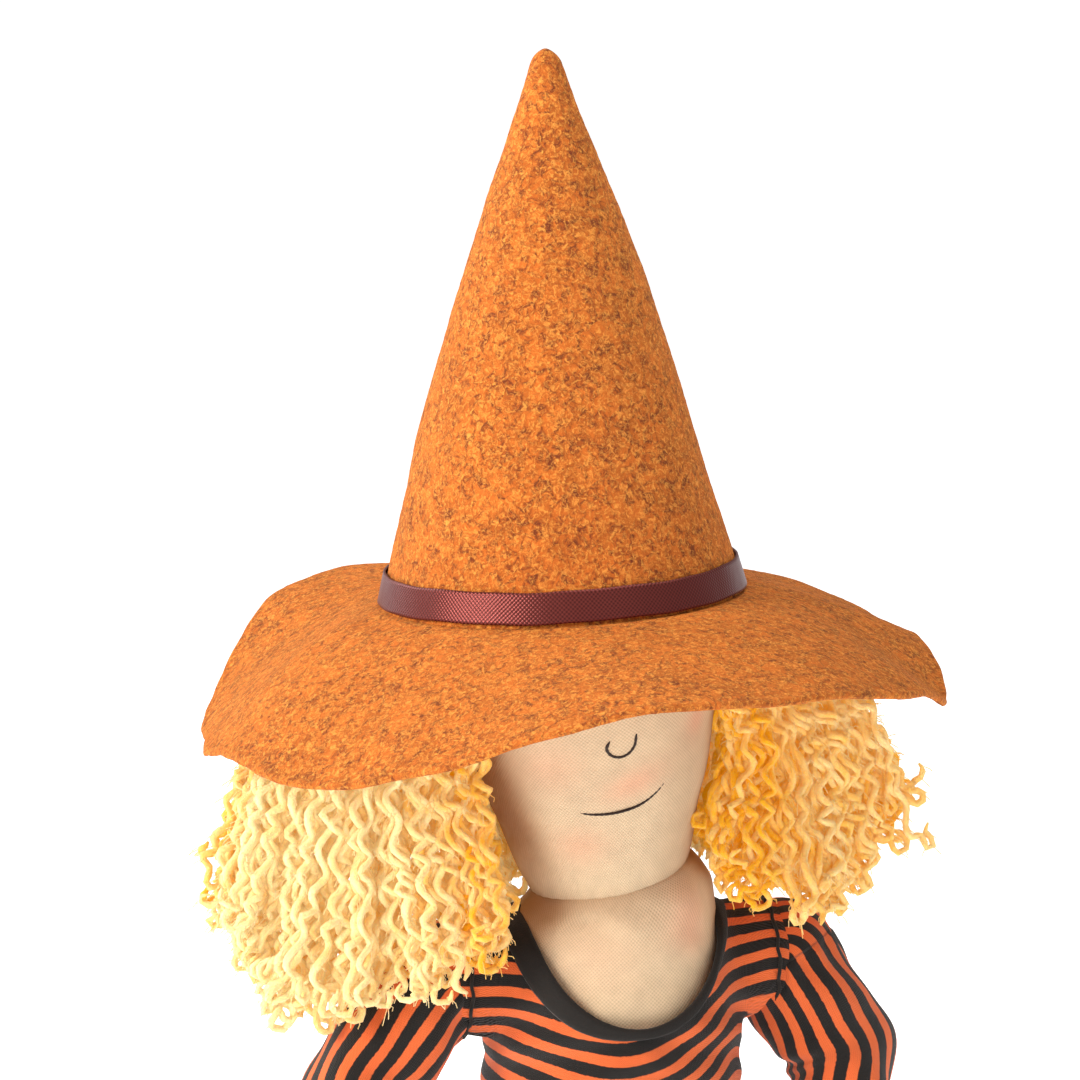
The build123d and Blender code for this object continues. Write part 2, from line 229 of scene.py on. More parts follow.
def tubes(name, paths, radii, material, sides=7, tints=None, closed_ends=True):
    """Many round strands as one mesh: each path is an array of points with a radius at each."""
    verts, faces, tint_values = [], [], []
    base = 0
    turn = np.linspace(0, 2 * math.pi, sides, endpoint=False)
    for index, (path, radius) in enumerate(zip(paths, radii)):
        count = len(path)
        along = np.gradient(path, axis=0)
        along /= np.maximum(np.linalg.norm(along, axis=1, keepdims=True), 1e-9)
        side = np.cross(along, [0.31, 0.83, 0.46])
        side /= np.maximum(np.linalg.norm(side, axis=1, keepdims=True), 1e-9)
        for i in range(1, count):
            carried = side[i - 1] - along[i] * np.dot(side[i - 1], along[i])
            side[i] = carried / max(np.linalg.norm(carried), 1e-9)
        up = np.cross(along, side)
        ring = (np.cos(turn)[None, :, None] * side[:, None] + np.sin(turn)[None, :, None] * up[:, None])
        verts.append((path[:, None] + ring * np.broadcast_to(radius, count)[:, None, None]).reshape(-1, 3))
        i, j = np.meshgrid(np.arange(count - 1), np.arange(sides), indexing="ij")
        k = (j + 1) % sides
        quads = np.stack([i * sides + j, i * sides + k, (i + 1) * sides + k, (i + 1) * sides + j], -1)
        faces.extend((quads.reshape(-1, 4) + base).tolist())
        if closed_ends:
            faces.append([base + s for s in range(sides)])
            faces.append([base + (count - 1) * sides + s for s in reversed(range(sides))])
        for values in (tints or {}).values():
            tint_values.append(np.repeat(np.broadcast_to(values[index], count), sides))
        base += count * sides
    mesh = bpy.data.meshes.new(name)
    mesh.from_pydata((np.concatenate(verts) * MM).tolist(), [], faces)
    for tint in (tints or {}):
        layer = mesh.attributes.new(tint, "FLOAT", "POINT")
        layer.data.foreach_set("value", np.concatenate(tint_values).astype(np.float32))
    return finish_mesh(name, mesh, material)


def bent_line(points, step):
    """Smooth path through a few points, sampled every step millimetres."""
    points = np.array(points, float)
    reach = reach_along(points)
    at = np.linspace(0, reach[-1], max(int(reach[-1] / step), 4))
    return np.stack([smooth_curve(np.stack([reach, points[:, k]], 1))(at) for k in range(3)], 1)


# ---- materials -------------------------------------------------------------------------------
BLACK, WHITE = (0.0, 0.0, 0.0, 1.0), (1.0, 1.0, 1.0, 1.0)
FACTOR, COLOUR_A, COLOUR_B, MIXED = 0, 6, 7, 2      # sockets of a Mix node set to colour


def add_node(tree, kind, inputs=None, **settings):
    """Adds a node, applies its settings, and sets or links its inputs."""
    made = tree.nodes.new(f"ShaderNode{kind}")
    for key, value in settings.items():
        setattr(made, key, value)
    for key, value in (inputs or {}).items():
        if isinstance(value, bpy.types.NodeSocket):
            tree.links.new(value, made.inputs[key])
        else:
            made.inputs[key].default_value = value
    return made


def grain(tree, place, size_mm, **look):
    """Noise with lumps of the given size."""
    inputs = {"Vector": place, "Scale": 1 / (size_mm * MM)}
    inputs.update({key.title(): value for key, value in look.items()})
    return add_node(tree, "TexNoise", inputs).outputs[0]


def remap(tree, value, low, high, to_low=0.0, to_high=1.0):
    """A value carried from one span to another and held inside it."""
    return add_node(tree, "MapRange", {"Value": value, "From Min": low, "From Max": high,
                                       "To Min": to_low, "To Max": to_high}).outputs[0]


def maths(tree, operation, *values, clamp=False):
    return add_node(tree, "Math", dict(enumerate(values)), operation=operation, use_clamp=clamp).outputs[0]


def mix(tree, factor, first, second, clamp=True):
    return add_node(tree, "Mix", {FACTOR: factor, COLOUR_A: first, COLOUR_B: second}, data_type="RGBA",
                    clamp_factor=clamp).outputs[MIXED]


def shaded(tree, level, colour):
    """A colour made darker or lighter by a level about 1."""
    return mix(tree, level, BLACK, colour, clamp=False)


def object_place(tree):
    return add_node(tree, "TexCoord").outputs["Object"]


def cloth_place(tree):
    return add_node(tree, "UVMap", uv_map="cloth").outputs[0]


def named_tint(tree, name):
    return add_node(tree, "Attribute", attribute_name=name).outputs["Fac"]


def start_material(name):
    material = bpy.data.materials.new(name)
    material.use_nodes = True
    material.node_tree.nodes.clear()
    return material, material.node_tree


def close_material(tree, colour, bump_height, bump_mm, **shader):
    """Principled shader with a bump of the given depth, joined to the output."""
    bump = add_node(tree, "Bump", {"Height": bump_height, "Distance": bump_mm * MM, "Strength": 1.0})
    values = {"Base Color": colour, "Normal": bump.outputs[0], "Specular IOR Level": 0.25}
    values.update({key.replace("_", " "): value for key, value in shader.items()})
    principled = add_node(tree, "BsdfPrincipled", values)
    add_node(tree, "OutputMaterial", {"Surface": principled.outputs[0]})


def rgba(colour, strength=1.0):
    return (*[min(c * strength, 1.0) for c in colour], 1.0)


def wool_felt():
    """Needled wool felt: heathered fibres of three wools, no weave, a soft matt halo."""
    s = hat_settings()
    material, tree = start_material("wool_felt_needled")
    place = object_place(tree)
    cloud = grain(tree, place, 9, detail=6.0, roughness=0.7, distortion=0.8)
    blotch = grain(tree, place, 3.6, detail=5.0, roughness=0.72, distortion=1.1)
    fibre = grain(tree, place, 1.5, detail=5.0, roughness=0.68, distortion=1.2)
    body = mix(tree, remap(tree, cloud, 0.42, 0.60, 0.0, 0.75),
               rgba(s.felt_colour, 1.12), rgba(s.felt_colour, 0.70))
    mottled = mix(tree, remap(tree, blotch, 0.47, 0.62, 0.0, 0.95), body, rgba(s.felt_dark))
    colour = mix(tree, remap(tree, fibre, 0.47, 0.66, 0.0, 0.8), mottled, rgba(s.felt_light))
    close_material(tree, colour, maths(tree, "ADD", fibre, blotch), 0.8, Roughness=0.95,
                   Sheen_Weight=0.25, Sheen_Roughness=0.5, Sheen_Tint=rgba(s.felt_light))
    return material


def turns(tree, value, pitch_mm):
    """Angle that goes once round in each pitch."""
    return maths(tree, "MULTIPLY", value, 2 * math.pi / (pitch_mm * MM))


def woven_height(tree, thread_mm):
    """Over and under of a plain weave along the cloth UV map, as a height from 0 to 1."""
    parts = add_node(tree, "SeparateXYZ", {0: cloth_place(tree)}).outputs
    waves = [maths(tree, "SINE", turns(tree, parts[axis], 2 * thread_mm)) for axis in (0, 1)]
    return remap(tree, maths(tree, "MULTIPLY", *waves), -1.0, 1.0)


def calico(name="calico_plain_weave", tinted=True):
    """Unbleached cotton in a plain weave, with colour rubbed in and painted shade: matt, threads just showing.
    """
    s = doll_settings()
    material, tree = start_material(name)
    weave = woven_height(tree, 0.62)         # drawn a little coarser than the real 0.5 mm thread
    slub = grain(tree, cloth_place(tree), 7, detail=5.0, roughness=0.6)
    # the weave's hollows painted darker: painted shade of the threads, times the slub's random tone
    level = maths(tree, "MULTIPLY", remap(tree, weave, 0.0, 1.0, 0.74, 1.06),
                  remap(tree, slub, 0.3, 0.7, 0.90, 1.05))
    colour = shaded(tree, level, rgba(s.calico))
    if tinted:
        # blush is colour rubbed into the cheeks; the brown tint is mostly painted shade on the head and chest,
        # with brown rubbed in at the hairline and the dark seam round the hands
        for tint, paint in (("blush", s.blush), ("stain_and_shade", s.stain_and_shade)):
            uneven = maths(tree, "MULTIPLY", named_tint(tree, tint), level)
            colour = mix(tree, uneven, colour, rgba(paint))
    close_material(tree, colour, weave, 0.16, Roughness=0.88, Sheen_Weight=0.08)
    return material


def striped_jersey():
    """Fine knitted jersey with printed bands: ribs of tiny stitches, band edges a little uneven."""
    s = doll_settings()
    material, tree = start_material("striped_jersey_knit")
    uv = cloth_place(tree)
    parts = add_node(tree, "SeparateXYZ", {0: uv}).outputs
    drift = remap(tree, grain(tree, uv, 1.6, detail=3.0), 0.0, 1.0, -0.35 * MM, 0.35 * MM)
    across = maths(tree, "ADD", parts[1], drift)
    band = maths(tree, "SINE", turns(tree, across, s.stripe_pitch / MM))
    wale_mm, course_mm = 0.75, 0.62          # stitches drawn about twice as coarse as real, so that they show
    arms = maths(tree, "COSINE", turns(tree, parts[0], wale_mm))
    slant = maths(tree, "MULTIPLY_ADD", arms, 1.6, turns(tree, parts[1], course_mm))
    knit = remap(tree, maths(tree, "SINE", slant), -1.0, 1.0)
    light = mix(tree, grain(tree, uv, 14, detail=4.0), rgba(s.stripe_light, 0.80), rgba(s.stripe_light, 1.12))
    stripes = mix(tree, remap(tree, band, -0.26, -0.04), light, rgba(s.stripe_dark))
    # knit stitches painted darker in their hollows: painted shade, on top of the bump
    colour = shaded(tree, remap(tree, knit, 0.0, 1.0, 0.78, 1.05), stripes)
    close_material(tree, colour, knit, 0.14, Roughness=0.85, Sheen_Weight=0.15)
    return material


def satin_ribbon():
    """Woven polyester satin: ribs finer than they look, a soft bright band where light strikes."""
    s = hat_settings()
    material, tree = start_material("satin_ribbon_woven")
    weave = woven_height(tree, 0.66)
    # raised threads painted lighter and the hollows darker: painted highlight and painted shade of the weave
    colour = shaded(tree, remap(tree, weave, 0.0, 1.0, 0.45, 1.45), rgba(s.ribbon_colour))
    close_material(tree, colour, weave, 0.10, Roughness=0.34, Metallic=0.55, Specular_IOR_Level=0.3)
    return material


def crinkled_wool():
    """Unravelled wool yarn, kinked from its knitting: fuzzy, pale outside, with painted shade in deeper gold in
    its depth.
    """
    s = doll_settings()
    material, tree = start_material("wool_yarn_crinkled")
    place = object_place(tree)
    fuzz = grain(tree, place, 0.9, detail=4.0, distortion=1.5)
    spread = remap(tree, grain(tree, place, 6, detail=2.0), 0.3, 0.7, -0.22, 0.22)
    # the gold level mixes the yarn's own random tone with painted shade: deeper gold in the depth of the hair
    # and on the lock away from the light
    deep_gold_and_shade = maths(tree, "ADD", named_tint(tree, "deep_gold_and_shade"), spread, clamp=True)
    yarn = mix(tree, deep_gold_and_shade, rgba(s.yarn_light), rgba(s.yarn_deep))
    colour = shaded(tree, remap(tree, fuzz, 0.3, 0.7, 0.90, 1.16), yarn)
    # the small emission stands for daylight passed on through loose wool from strand to strand
    close_material(tree, colour, fuzz, 1.0, Roughness=0.85, Sheen_Weight=0.3, Sheen_Roughness=0.5,
                   Subsurface_Weight=0.25, Subsurface_Radius=(0.003, 0.0018, 0.0008), Subsurface_Scale=1.0,
                   Emission_Color=colour, Emission_Strength=0.22)
    return material


def plain_cloth(name, colour, grain_mm, roughness=0.9, depth_mm=0.2, spread=0.25):
    """Matt cloth, thread or wadding of one dye: small uneven tone at the size of its own grain."""
    material, tree = start_material(name)
    uneven = grain(tree, object_place(tree), grain_mm, detail=5.0, distortion=1.0)
    tone = mix(tree, uneven, rgba(colour, 1 - spread), rgba(colour, 1 + spread))
    close_material(tree, tone, uneven, depth_mm, Roughness=roughness, Sheen_Weight=0.1)
    return material


MADE = {}


def finish_of(name):
    """Each material is made once and then shared."""
    if name not in MADE:
        s = doll_settings()
        recipes = {
            "felt": wool_felt, "calico": calico, "jersey": striped_jersey, "ribbon": satin_ribbon,
            "yarn": crinkled_wool,
            "lining": lambda: calico("calico_lining_washed", tinted=False),
            "binding": lambda: plain_cloth("cotton_binding_black", s.binding, 0.6, spread=0.35),
            "thread": lambda: plain_cloth("stranded_thread_dark", s.thread, 0.5, roughness=0.6),
            "parting": lambda: plain_cloth("wool_thread_gold", s.yarn_deep, 0.8),
            "wadding": lambda: plain_cloth("polyester_wadding", hex_linear("#efece4"), 2.0, depth_mm=0.8),
            "card": lambda: plain_cloth("rolled_card", hex_linear("#b79a6f"), 1.2, roughness=0.8),
        }
        MADE[name] = recipes[name]()
    return MADE[name]


# ---- hat -------------------------------------------------------------------------------------
HAT_AXES = axes_about(HAT_AXIS, np.array([1.0, 0.0, 0.0]))
TIP_RADIUS, TIP_ROUND, TIP_BEND = 3.4, 4.5, 3.4      # blunt tip: its radius, its rounding and how far it leans
FULLNESS = 10.4                          # how far the cone's side stands out from a straight line, times 4
BRIM_TUCK = 0.0015                       # in metres: the brim's hole is smaller than the cone's foot
FELT_TOOTH = 2.1                         # size of the small lumps in the felt
CONE_FOOT = -1.2                         # the cone is sewn in a little below the brim's top
# drop of the rim at each angle round the hat, -90 being the front
RIM_DROP = [(-180, 39.5), (-163, 36), (-145, 37), (-128, 31), (-110, 21), (-95, 14.5), (-80, 15.5),
            (-60, 19), (-40, 27), (-20, 34), (-5, 26.5), (12, 23.5), (34, 14.6), (60, 9), (90, 6),
            (115, 3), (130, 7), (148, 29), (164, 39.5)]


def from_hat(radius, angle, height):
    """Points from round the hat's own axis; radius, angle and height are arrays."""
    across, forth, up = HAT_AXES
    return (HAT_CENTRE + (radius * np.cos(angle))[..., None] * across
            + (radius * np.sin(angle))[..., None] * forth + height[..., None] * up)


def cone_radius(height):
    """The cone's slightly full side, down to a tip that is blunt."""
    s = hat_settings()
    foot, tall = s.cone_radius / MM, s.cone_height / MM
    share = height / tall
    side = TIP_RADIUS + (foot - TIP_RADIUS) * (1 - share) + FULLNESS * share * (1 - share)
    below_tip = np.clip((tall - height) / TIP_ROUND, 0, 1)
    return side * np.sqrt(np.clip(1 - (1 - below_tip) ** 2, 0, 1))


def build_cone():
    """Hollow felt cone: its inside and its outside as one skin that meets at the foot."""
    s = hat_settings()
    tall, felt = s.cone_height / MM, s.felt / MM
    angle = np.linspace(0, 2 * math.pi, 240, endpoint=False)
    outer_h = np.concatenate([np.linspace(CONE_FOOT, tall - TIP_ROUND, 150),
                              tall - TIP_ROUND * (1 - np.sin(np.linspace(0.1, math.pi / 2, 10)))])
    inner_h = np.linspace(CONE_FOOT, tall - 12, 40)
    radius = np.concatenate([np.maximum(cone_radius(inner_h[::-1]) - felt, 0.0), cone_radius(outer_h)])
    radius[0] = 0.0
    height = np.concatenate([inner_h[::-1], outer_h])
    h, a = np.meshgrid(height, angle, indexing="ij")
    r = np.repeat(radius[:, None], len(angle), axis=1)
    plain = from_hat(r, a, h)
    fade = ease(0, 12, r) * ease(2, 26, h)
    dent = bumps(plain, 46, 3.0) * 1.1 + bumps(plain, 17, 8.0) * 0.45
    tooth = bumps(plain, FELT_TOOTH, 5.0) * 0.16
    points = from_hat(r + (dent * fade + tooth * (r > 1)), a, h)
    points = points + (TIP_BEND * ease(20, tall, h))[..., None] * HAT_AXES[0]
    piece = cloth_grid("felt_cone", points, finish_of("felt"),
                       uv=flat_uv(np.linspace(0, 300, len(angle) + 1), height), weld=True)
    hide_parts("hat_cone")
    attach(piece, "hat")


def rim_height():
    """Drop of the rim as a function of the angle, carried round past both ends."""
    before = [(angle - 360, drop) for angle, drop in RIM_DROP[-3:]]
    after = [(angle + 360, drop) for angle, drop in RIM_DROP[:3]]
    return smooth_curve(before + RIM_DROP + after)


def brim_drop(radius, degrees, foot, rim):
    """Fall of the brim below the cone's foot, with a soft ridge on the doll's right."""
    share = np.clip((radius - foot) / (rim - foot), 0, 1)
    fall = rim_height()(degrees) * (0.35 * share + 0.65 * share ** 1.7)
    ridge = np.exp(-((degrees + 168 + 26 * (1 - share)) / 17) ** 2) * share * (1 - share) * 12
    swell = np.sin(np.radians(degrees * 3 + 40)) * share * (1 - share) * 2.4
    return fall - ridge + swell


def build_brim():
    """Wavy brim: upper face, rounded rim and under face as one closed skin."""
    s = hat_settings()
    foot, rim, felt = (s.cone_radius - BRIM_TUCK) / MM, s.brim_radius / MM, s.felt / MM
    degrees = np.linspace(-180, 180, 420, endpoint=False)
    edge_turn = np.linspace(math.pi / 2, -math.pi / 2, 7)
    reach = np.linspace(0, 1, 44)
    share = np.concatenate([reach, np.ones(len(edge_turn)), reach[::-1]])
    beyond = np.concatenate([reach * 0, np.cos(edge_turn) * felt / 2, reach * 0])
    lift = np.concatenate([reach * 0 + felt / 2, np.sin(edge_turn) * felt / 2, reach * 0 - felt / 2])
    g_share, g_deg = np.meshgrid(share, degrees, indexing="ij")
    jut = (0.8 * np.exp(-((g_deg + 19) / 8) ** 2) + 1.2 * np.exp(-((np.abs(g_deg) - 179) / 6) ** 2)
           - 3.6 * ease(152, 172, np.abs(g_deg)))
    nibble = 0.3 * np.sin(np.radians(g_deg * 23)) + 0.12 * np.sin(np.radians(g_deg * 61 + 30))
    radius = foot + (rim + (jut + nibble) * g_share ** 6 - foot) * g_share + beyond[:, None]
    height = lift[:, None] - felt / 2 - brim_drop(radius, g_deg, foot, rim)
    plain = from_hat(radius, np.radians(g_deg), height)
    hook = 3.0 * np.exp(-((g_deg + 19) / 9) ** 2) * g_share ** 5
    height = (height - hook + bumps(plain * [1, 1, 0.2], 24, 2.0) * 0.9 * g_share
              + bumps(plain, FELT_TOOTH, 5.0) * 0.15)
    points = from_hat(radius, np.radians(g_deg), height)
    piece = cloth_grid("felt_brim", points, finish_of("felt"), loop_rows=True,
                       uv=flat_uv(np.linspace(0, 600, len(degrees) + 1), np.arange(len(share) + 1) * 1.4))
    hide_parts("hat_brim")
    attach(piece, "hat")


def hat_band(name, low, high, gap, thick, finish, node, start=-180, end=180, wave=0.0):
    """Flat strip round the cone: a thin closed band between two heights."""
    degrees = np.linspace(start, end, 361)
    whole = end - start == 360
    if whole:
        degrees = degrees[:-1]
    heights = np.linspace(low, high, 13)
    path = np.concatenate([heights, heights[::-1]])
    out = np.concatenate([heights * 0 + gap + thick, heights * 0 + gap])
    h, d = np.meshgrid(path, degrees, indexing="ij")
    ripple = wave * (np.sin(np.radians(d * 7)) + 0.6 * np.sin(np.radians(d * 17 + 50)))
    r = cone_radius(h) + out[:, None] + np.abs(ripple) * 0.5
    points = from_hat(r, np.radians(d), h + ripple)
    uv = flat_uv(np.linspace(0, 360, len(degrees) + 1), np.concatenate([path, path[:1]]))
    piece = cloth_grid(name, points, finish_of(finish), uv=uv, loop_rows=True, loop_cols=whole)
    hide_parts(node)
    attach(piece, "hat")


def build_ribbon():
    wide = hat_settings().ribbon_width / MM
    hat_band("satin_band", 0.9, 0.9 + wide, 0.7, 0.7, "ribbon", "hat_ribbon", wave=0.16)
    hat_band("satin_lap", 0.8, 0.8 + wide, 1.6, 0.8, "ribbon", "hat_ribbon_lap",
             start=80, end=101)
    hat_band("sweatband_tape", -0.2, 12, -4.2, 0.8, "ribbon", "hat_sweatband")


# ---- head ------------------------------------------------------------------------------------
HEAD_AXES = axes_about(HEAD_AXIS, np.array([1.0, 0.0, 0.1417]))
CHIN, HEAD_TOP = -34, 92.5
# radius of the head at each height above its pivot
HEAD_STATIONS = [(CHIN, 0), (-33, 7), (-30, 14.5), (-26, 20.5), (-21, 24.8), (-14, 27.7), (-6, 30), (4, 32.6),
                 (14, 36), (30, 40.2), (48, 43.8), (63, 41), (79, 30), (88, 15.5), (91.5, 6), (HEAD_TOP, 0)]


def on_head(degrees, height, proud=0.0):
    """Points on the head: degrees round from the front, height above the pivot along its axis."""
    degrees, height = np.asarray(degrees, float), np.asarray(height, float)
    radius = smooth_curve(HEAD_STATIONS)(height) + proud
    across, forth, up = HEAD_AXES
    angle = np.radians(degrees - 90)
    return (HEAD_PIVOT + (radius * np.cos(angle))[..., None] * across
            + (radius * np.sin(angle))[..., None] * forth + height[..., None] * up)


def rubbed_spot(degrees, height, at_deg, at_height, wide, tall, lean=0.0):
    """Soft round patch of rubbed-in colour."""
    d, h = (degrees - at_deg) * 0.65, height - at_height
    return np.exp(-((d - lean * h) / wide) ** 2 - (h / tall) ** 2)


def build_head():
    """Stuffed head with full cheeks, a puckered neck seam, blush rubbed into the cloth, and painted shade on
    its sides and under the brim.
    """
    degrees = np.linspace(-180, 180, 240, endpoint=False)
    polar = np.linspace(-math.pi / 2, 0, 44)[:-1]
    height = np.concatenate([-CHIN * np.sin(polar), np.linspace(0, 84, 84),
                             [86, 88, 90, 91.5, 92.3, HEAD_TOP]])
    h, d = np.meshgrid(height, degrees, indexing="ij")
    plain = on_head(d, h)
    lumps = bumps(plain, 30, 1.0) * 0.7 + bumps(plain, 9, 4.0) * 0.15
    pucker = 0.25 * np.cos(np.radians(d * 36)) * np.exp(-((h + 23) / 3) ** 2)
    round_cheeks = 1.2 * np.exp(-((h - 14) / 18) ** 2) * np.exp(-((np.abs(d) - 38) / 26) ** 2)
    points = on_head(d, h, (lumps + pucker + round_cheeks) * ease(HEAD_TOP, 84, h) * ease(CHIN, -28, h))
    blush = (0.45 * rubbed_spot(d, h, 4, 21, 9, 5.5, 0.7) + 0.5 * rubbed_spot(d, h, 41, 36, 5, 6)
             + 0.35 * rubbed_spot(d, h, -27, 1, 10, 7) + 0.25 * rubbed_spot(d, h, -34, 30, 10, 9))
    # brown tint: painted shade on the doll's left side away from the key light, on its left cheek and under the
    # brim; beside the hair on the doll's right it is brown rubbed in and painted shade; a darker band rings the
    # chin just above the neck seam
    stain_and_shade = (0.85 * ease(-36, -64, d) * ease(-20, 10, h) + 0.6 * ease(48, 74, d)
             + 0.4 * np.exp(-((h + 26) / 6) ** 2) + 0.3 * ease(44, 60, h)
             + 0.22 * ease(8, 34, d) * ease(80, 60, d))
    uv = flat_uv(np.linspace(0, 250, len(degrees) + 1), height)
    head = cloth_grid("head_cloth", points, finish_of("calico"), uv=uv, weld=True,
                      tints={"blush": blush, "stain_and_shade": np.clip(stain_and_shade, 0, 0.85)})
    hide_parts("head_skin", "head_stuffing")
    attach(head, "head")


def stitched_face_line(name, stations, radius, node, taper=0.0):
    """Thread laid on the face through (degrees, height) points, in short even stitches."""
    step, stitch_length = 0.35, 1.7
    path = bent_line([on_head(d, h, 0.25) for d, h in stations], step)
    place = np.linspace(0, 1, len(path))
    stitch = 1 + 0.10 * np.cos(place * len(path) * step / stitch_length * 2 * math.pi)
    ends = np.sqrt(np.clip(np.minimum(place, 1 - place) / 0.06, 0.05, 1))
    thin = 1 - taper * np.abs(place - 0.45) * 1.2
    piece = tubes(name, [path], [radius * stitch * ends * thin], finish_of("thread"), sides=9)
    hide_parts(node)
    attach(piece, "head")


def build_face():
    """Nose and mouth in backstitch, and two closed lids under the brim."""
    stitched_face_line("nose_thread", [(-6, 37.5), (-7.6, 35), (-6, 32.6), (-2.5, 31.4), (1.5, 31.9),
                                       (4.6, 34.2), (5.8, 38.4)], 0.5, "nose_stitch")
    stitched_face_line("mouth_thread", [(-26, 14.2), (-20, 12.8), (-13, 12), (-3, 11.9), (8, 13.2),
                                        (16, 16), (22.5, 20)], 0.45, "mouth_stitch")
    for side, sign in SIDES.items():
        closed_lid = [(sign * 20 + t * 6.5, 55 - 2.6 * (1 - t * t)) for t in (-1, -0.6, -0.2, 0.2, 0.6, 1)]
        stitched_face_line(f"{side}_eye_thread", closed_lid, 0.5, f"{side}_eye_stitch", taper=0.3)


# ---- hair ------------------------------------------------------------------------------------
STRAND_STEP = 1.35                       # distance between the rings of a strand
PLY_LENGTH = 2.6                         # length of one turn of its plies


def reach_along(path):
    return np.concatenate([[0], np.cumsum(np.linalg.norm(np.diff(path, axis=0), axis=1))])


def crinkle(path, rng, swing, pitch):
    """Path kinked from side to side, as yarn that was knitted and unravelled."""
    reach = reach_along(path)
    along = np.gradient(path, axis=0)
    along /= np.linalg.norm(along, axis=1, keepdims=True)
    side = np.cross(along, [rng.uniform(-0.3, 0.3), 1.0, rng.uniform(-0.2, 0.2)])
    side /= np.linalg.norm(side, axis=1, keepdims=True)
    deep = np.cross(along, side)
    start, drift = rng.uniform(0, 6.3), rng.uniform(-0.5, 0.5)
    turn = reach / pitch * 2 * math.pi + start + 1.1 * np.sin(reach / (pitch * 2.7) * 6.3 + drift)
    grown = ease(0, 14, reach)[:, None]
    sideways = np.sin(turn) + 0.12 * np.sin(turn * 1.7 + drift)
    kink = sideways[:, None] * side + 0.55 * np.cos(turn * 1.03 + drift)[:, None] * deep
    return path + grown * swing * kink


def strand(points, rng, swing=2.0, pitch=9.5, loop=0.0):
    """One strand through a few points, kinked, and turned back at its end when looped."""
    points = [np.array(p, float) for p in points]
    if loop:
        down = unit(points[-1] - points[-2])
        side = unit(np.cross(down, [rng.uniform(-0.4, 0.4), 1, 0.1])) * rng.choice((-1, 1))
        tip = points[-1]
        points += [tip + down * loop * 0.8 + side * loop * 0.9, tip + side * loop * 1.9,
                   tip - down * loop * 1.6 + side * loop * 1.8]
    return crinkle(bent_line(points, STRAND_STEP), rng, swing, pitch)


def stray_fibres(paths, gold_and_shade_levels, radius, rng):
    """Fine single fibres that stand off the yarn, curve along it and make its edge fuzzy."""
    fibres = []
    for path, deep_gold_and_shade in zip(paths, gold_and_shade_levels):
        along = unit(path[-1] - path[0])
        for _ in range(len(path) * 4 // 5):
            root = path[rng.randrange(3, len(path) - 1)]
            out = unit(np.array([rng.gauss(0, 1), rng.gauss(0, 1), rng.gauss(0, 0.6)]))
            reach, run = radius + rng.uniform(0.4, 1.5), rng.uniform(0.8, 3.2)
            tip = root + out * reach * rng.uniform(0.7, 1.5) + along * run
            fibres.append((np.array([root + out * radius * 0.8, root + out * reach + along * run * 0.45, tip]),
                           np.clip(deep_gold_and_shade * 0.8 + rng.uniform(-0.2, 0.15), 0, 1)))
    return fibres


def hair_piece(name, node, paths, gold_and_shade_levels, radius, rng):
    """Strands as one piece and their fibres as another, both riding with the head."""
    radii = []
    for path in paths:
        place = np.linspace(0, 1, len(path))
        plies = 1 + 0.10 * np.sin(place * len(path) * STRAND_STEP / PLY_LENGTH * 6.3)
        radii.append(radius * rng.uniform(0.82, 1.12) * plies * np.sqrt(np.clip((1 - place) / 0.03, 0.12, 1)))
    piece = tubes(name, paths, radii, finish_of("yarn"), sides=5, tints={"deep_gold_and_shade": gold_and_shade_levels})
    fluff = stray_fibres(paths, gold_and_shade_levels, radius, rng)
    loose = tubes(f"{name}_fibres", [path for path, _ in fluff], [0.17] * len(fluff), finish_of("yarn"),
                  sides=3, tints={"deep_gold_and_shade": [deep_gold_and_shade for _, deep_gold_and_shade in fluff]}, closed_ends=False)
    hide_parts(node)
    for part in (piece, loose):
        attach(part, "head")


# each lock of hair: where its strands leave the head (degrees, height), and the line its ends make; its gold
# level is painted shade, deeper on the left lock, away from the key light
LOCKS = {
    "right": {"count": 240, "seed": 11, "from": (-112, -50, 66, 50),
              "knees": ((-118, -8, 260), (-50, -27, 262)), "depth": 30, "deep_gold_and_shade": 0.0,
              "ends": ((-127, -12, 221), (-119, -16, 201), (-103, -22, 184), (-76, -28, 190), (-52, -31, 200),
                       (-43, -31, 210))},
    "left": {"count": 200, "seed": 23, "from": (50, 112, 52, 62),
             "knees": ((34, -26, 262), (86, -8, 268)), "depth": 26, "deep_gold_and_shade": 0.5,
             "ends": ((27, -27, 232), (41, -28, 219), (57, -28, 216), (70, -22, 209), (86, -14, 224),
                      (99, -8, 234))},
}


ROW = 25                                 # strands side by side in one layer of a lock


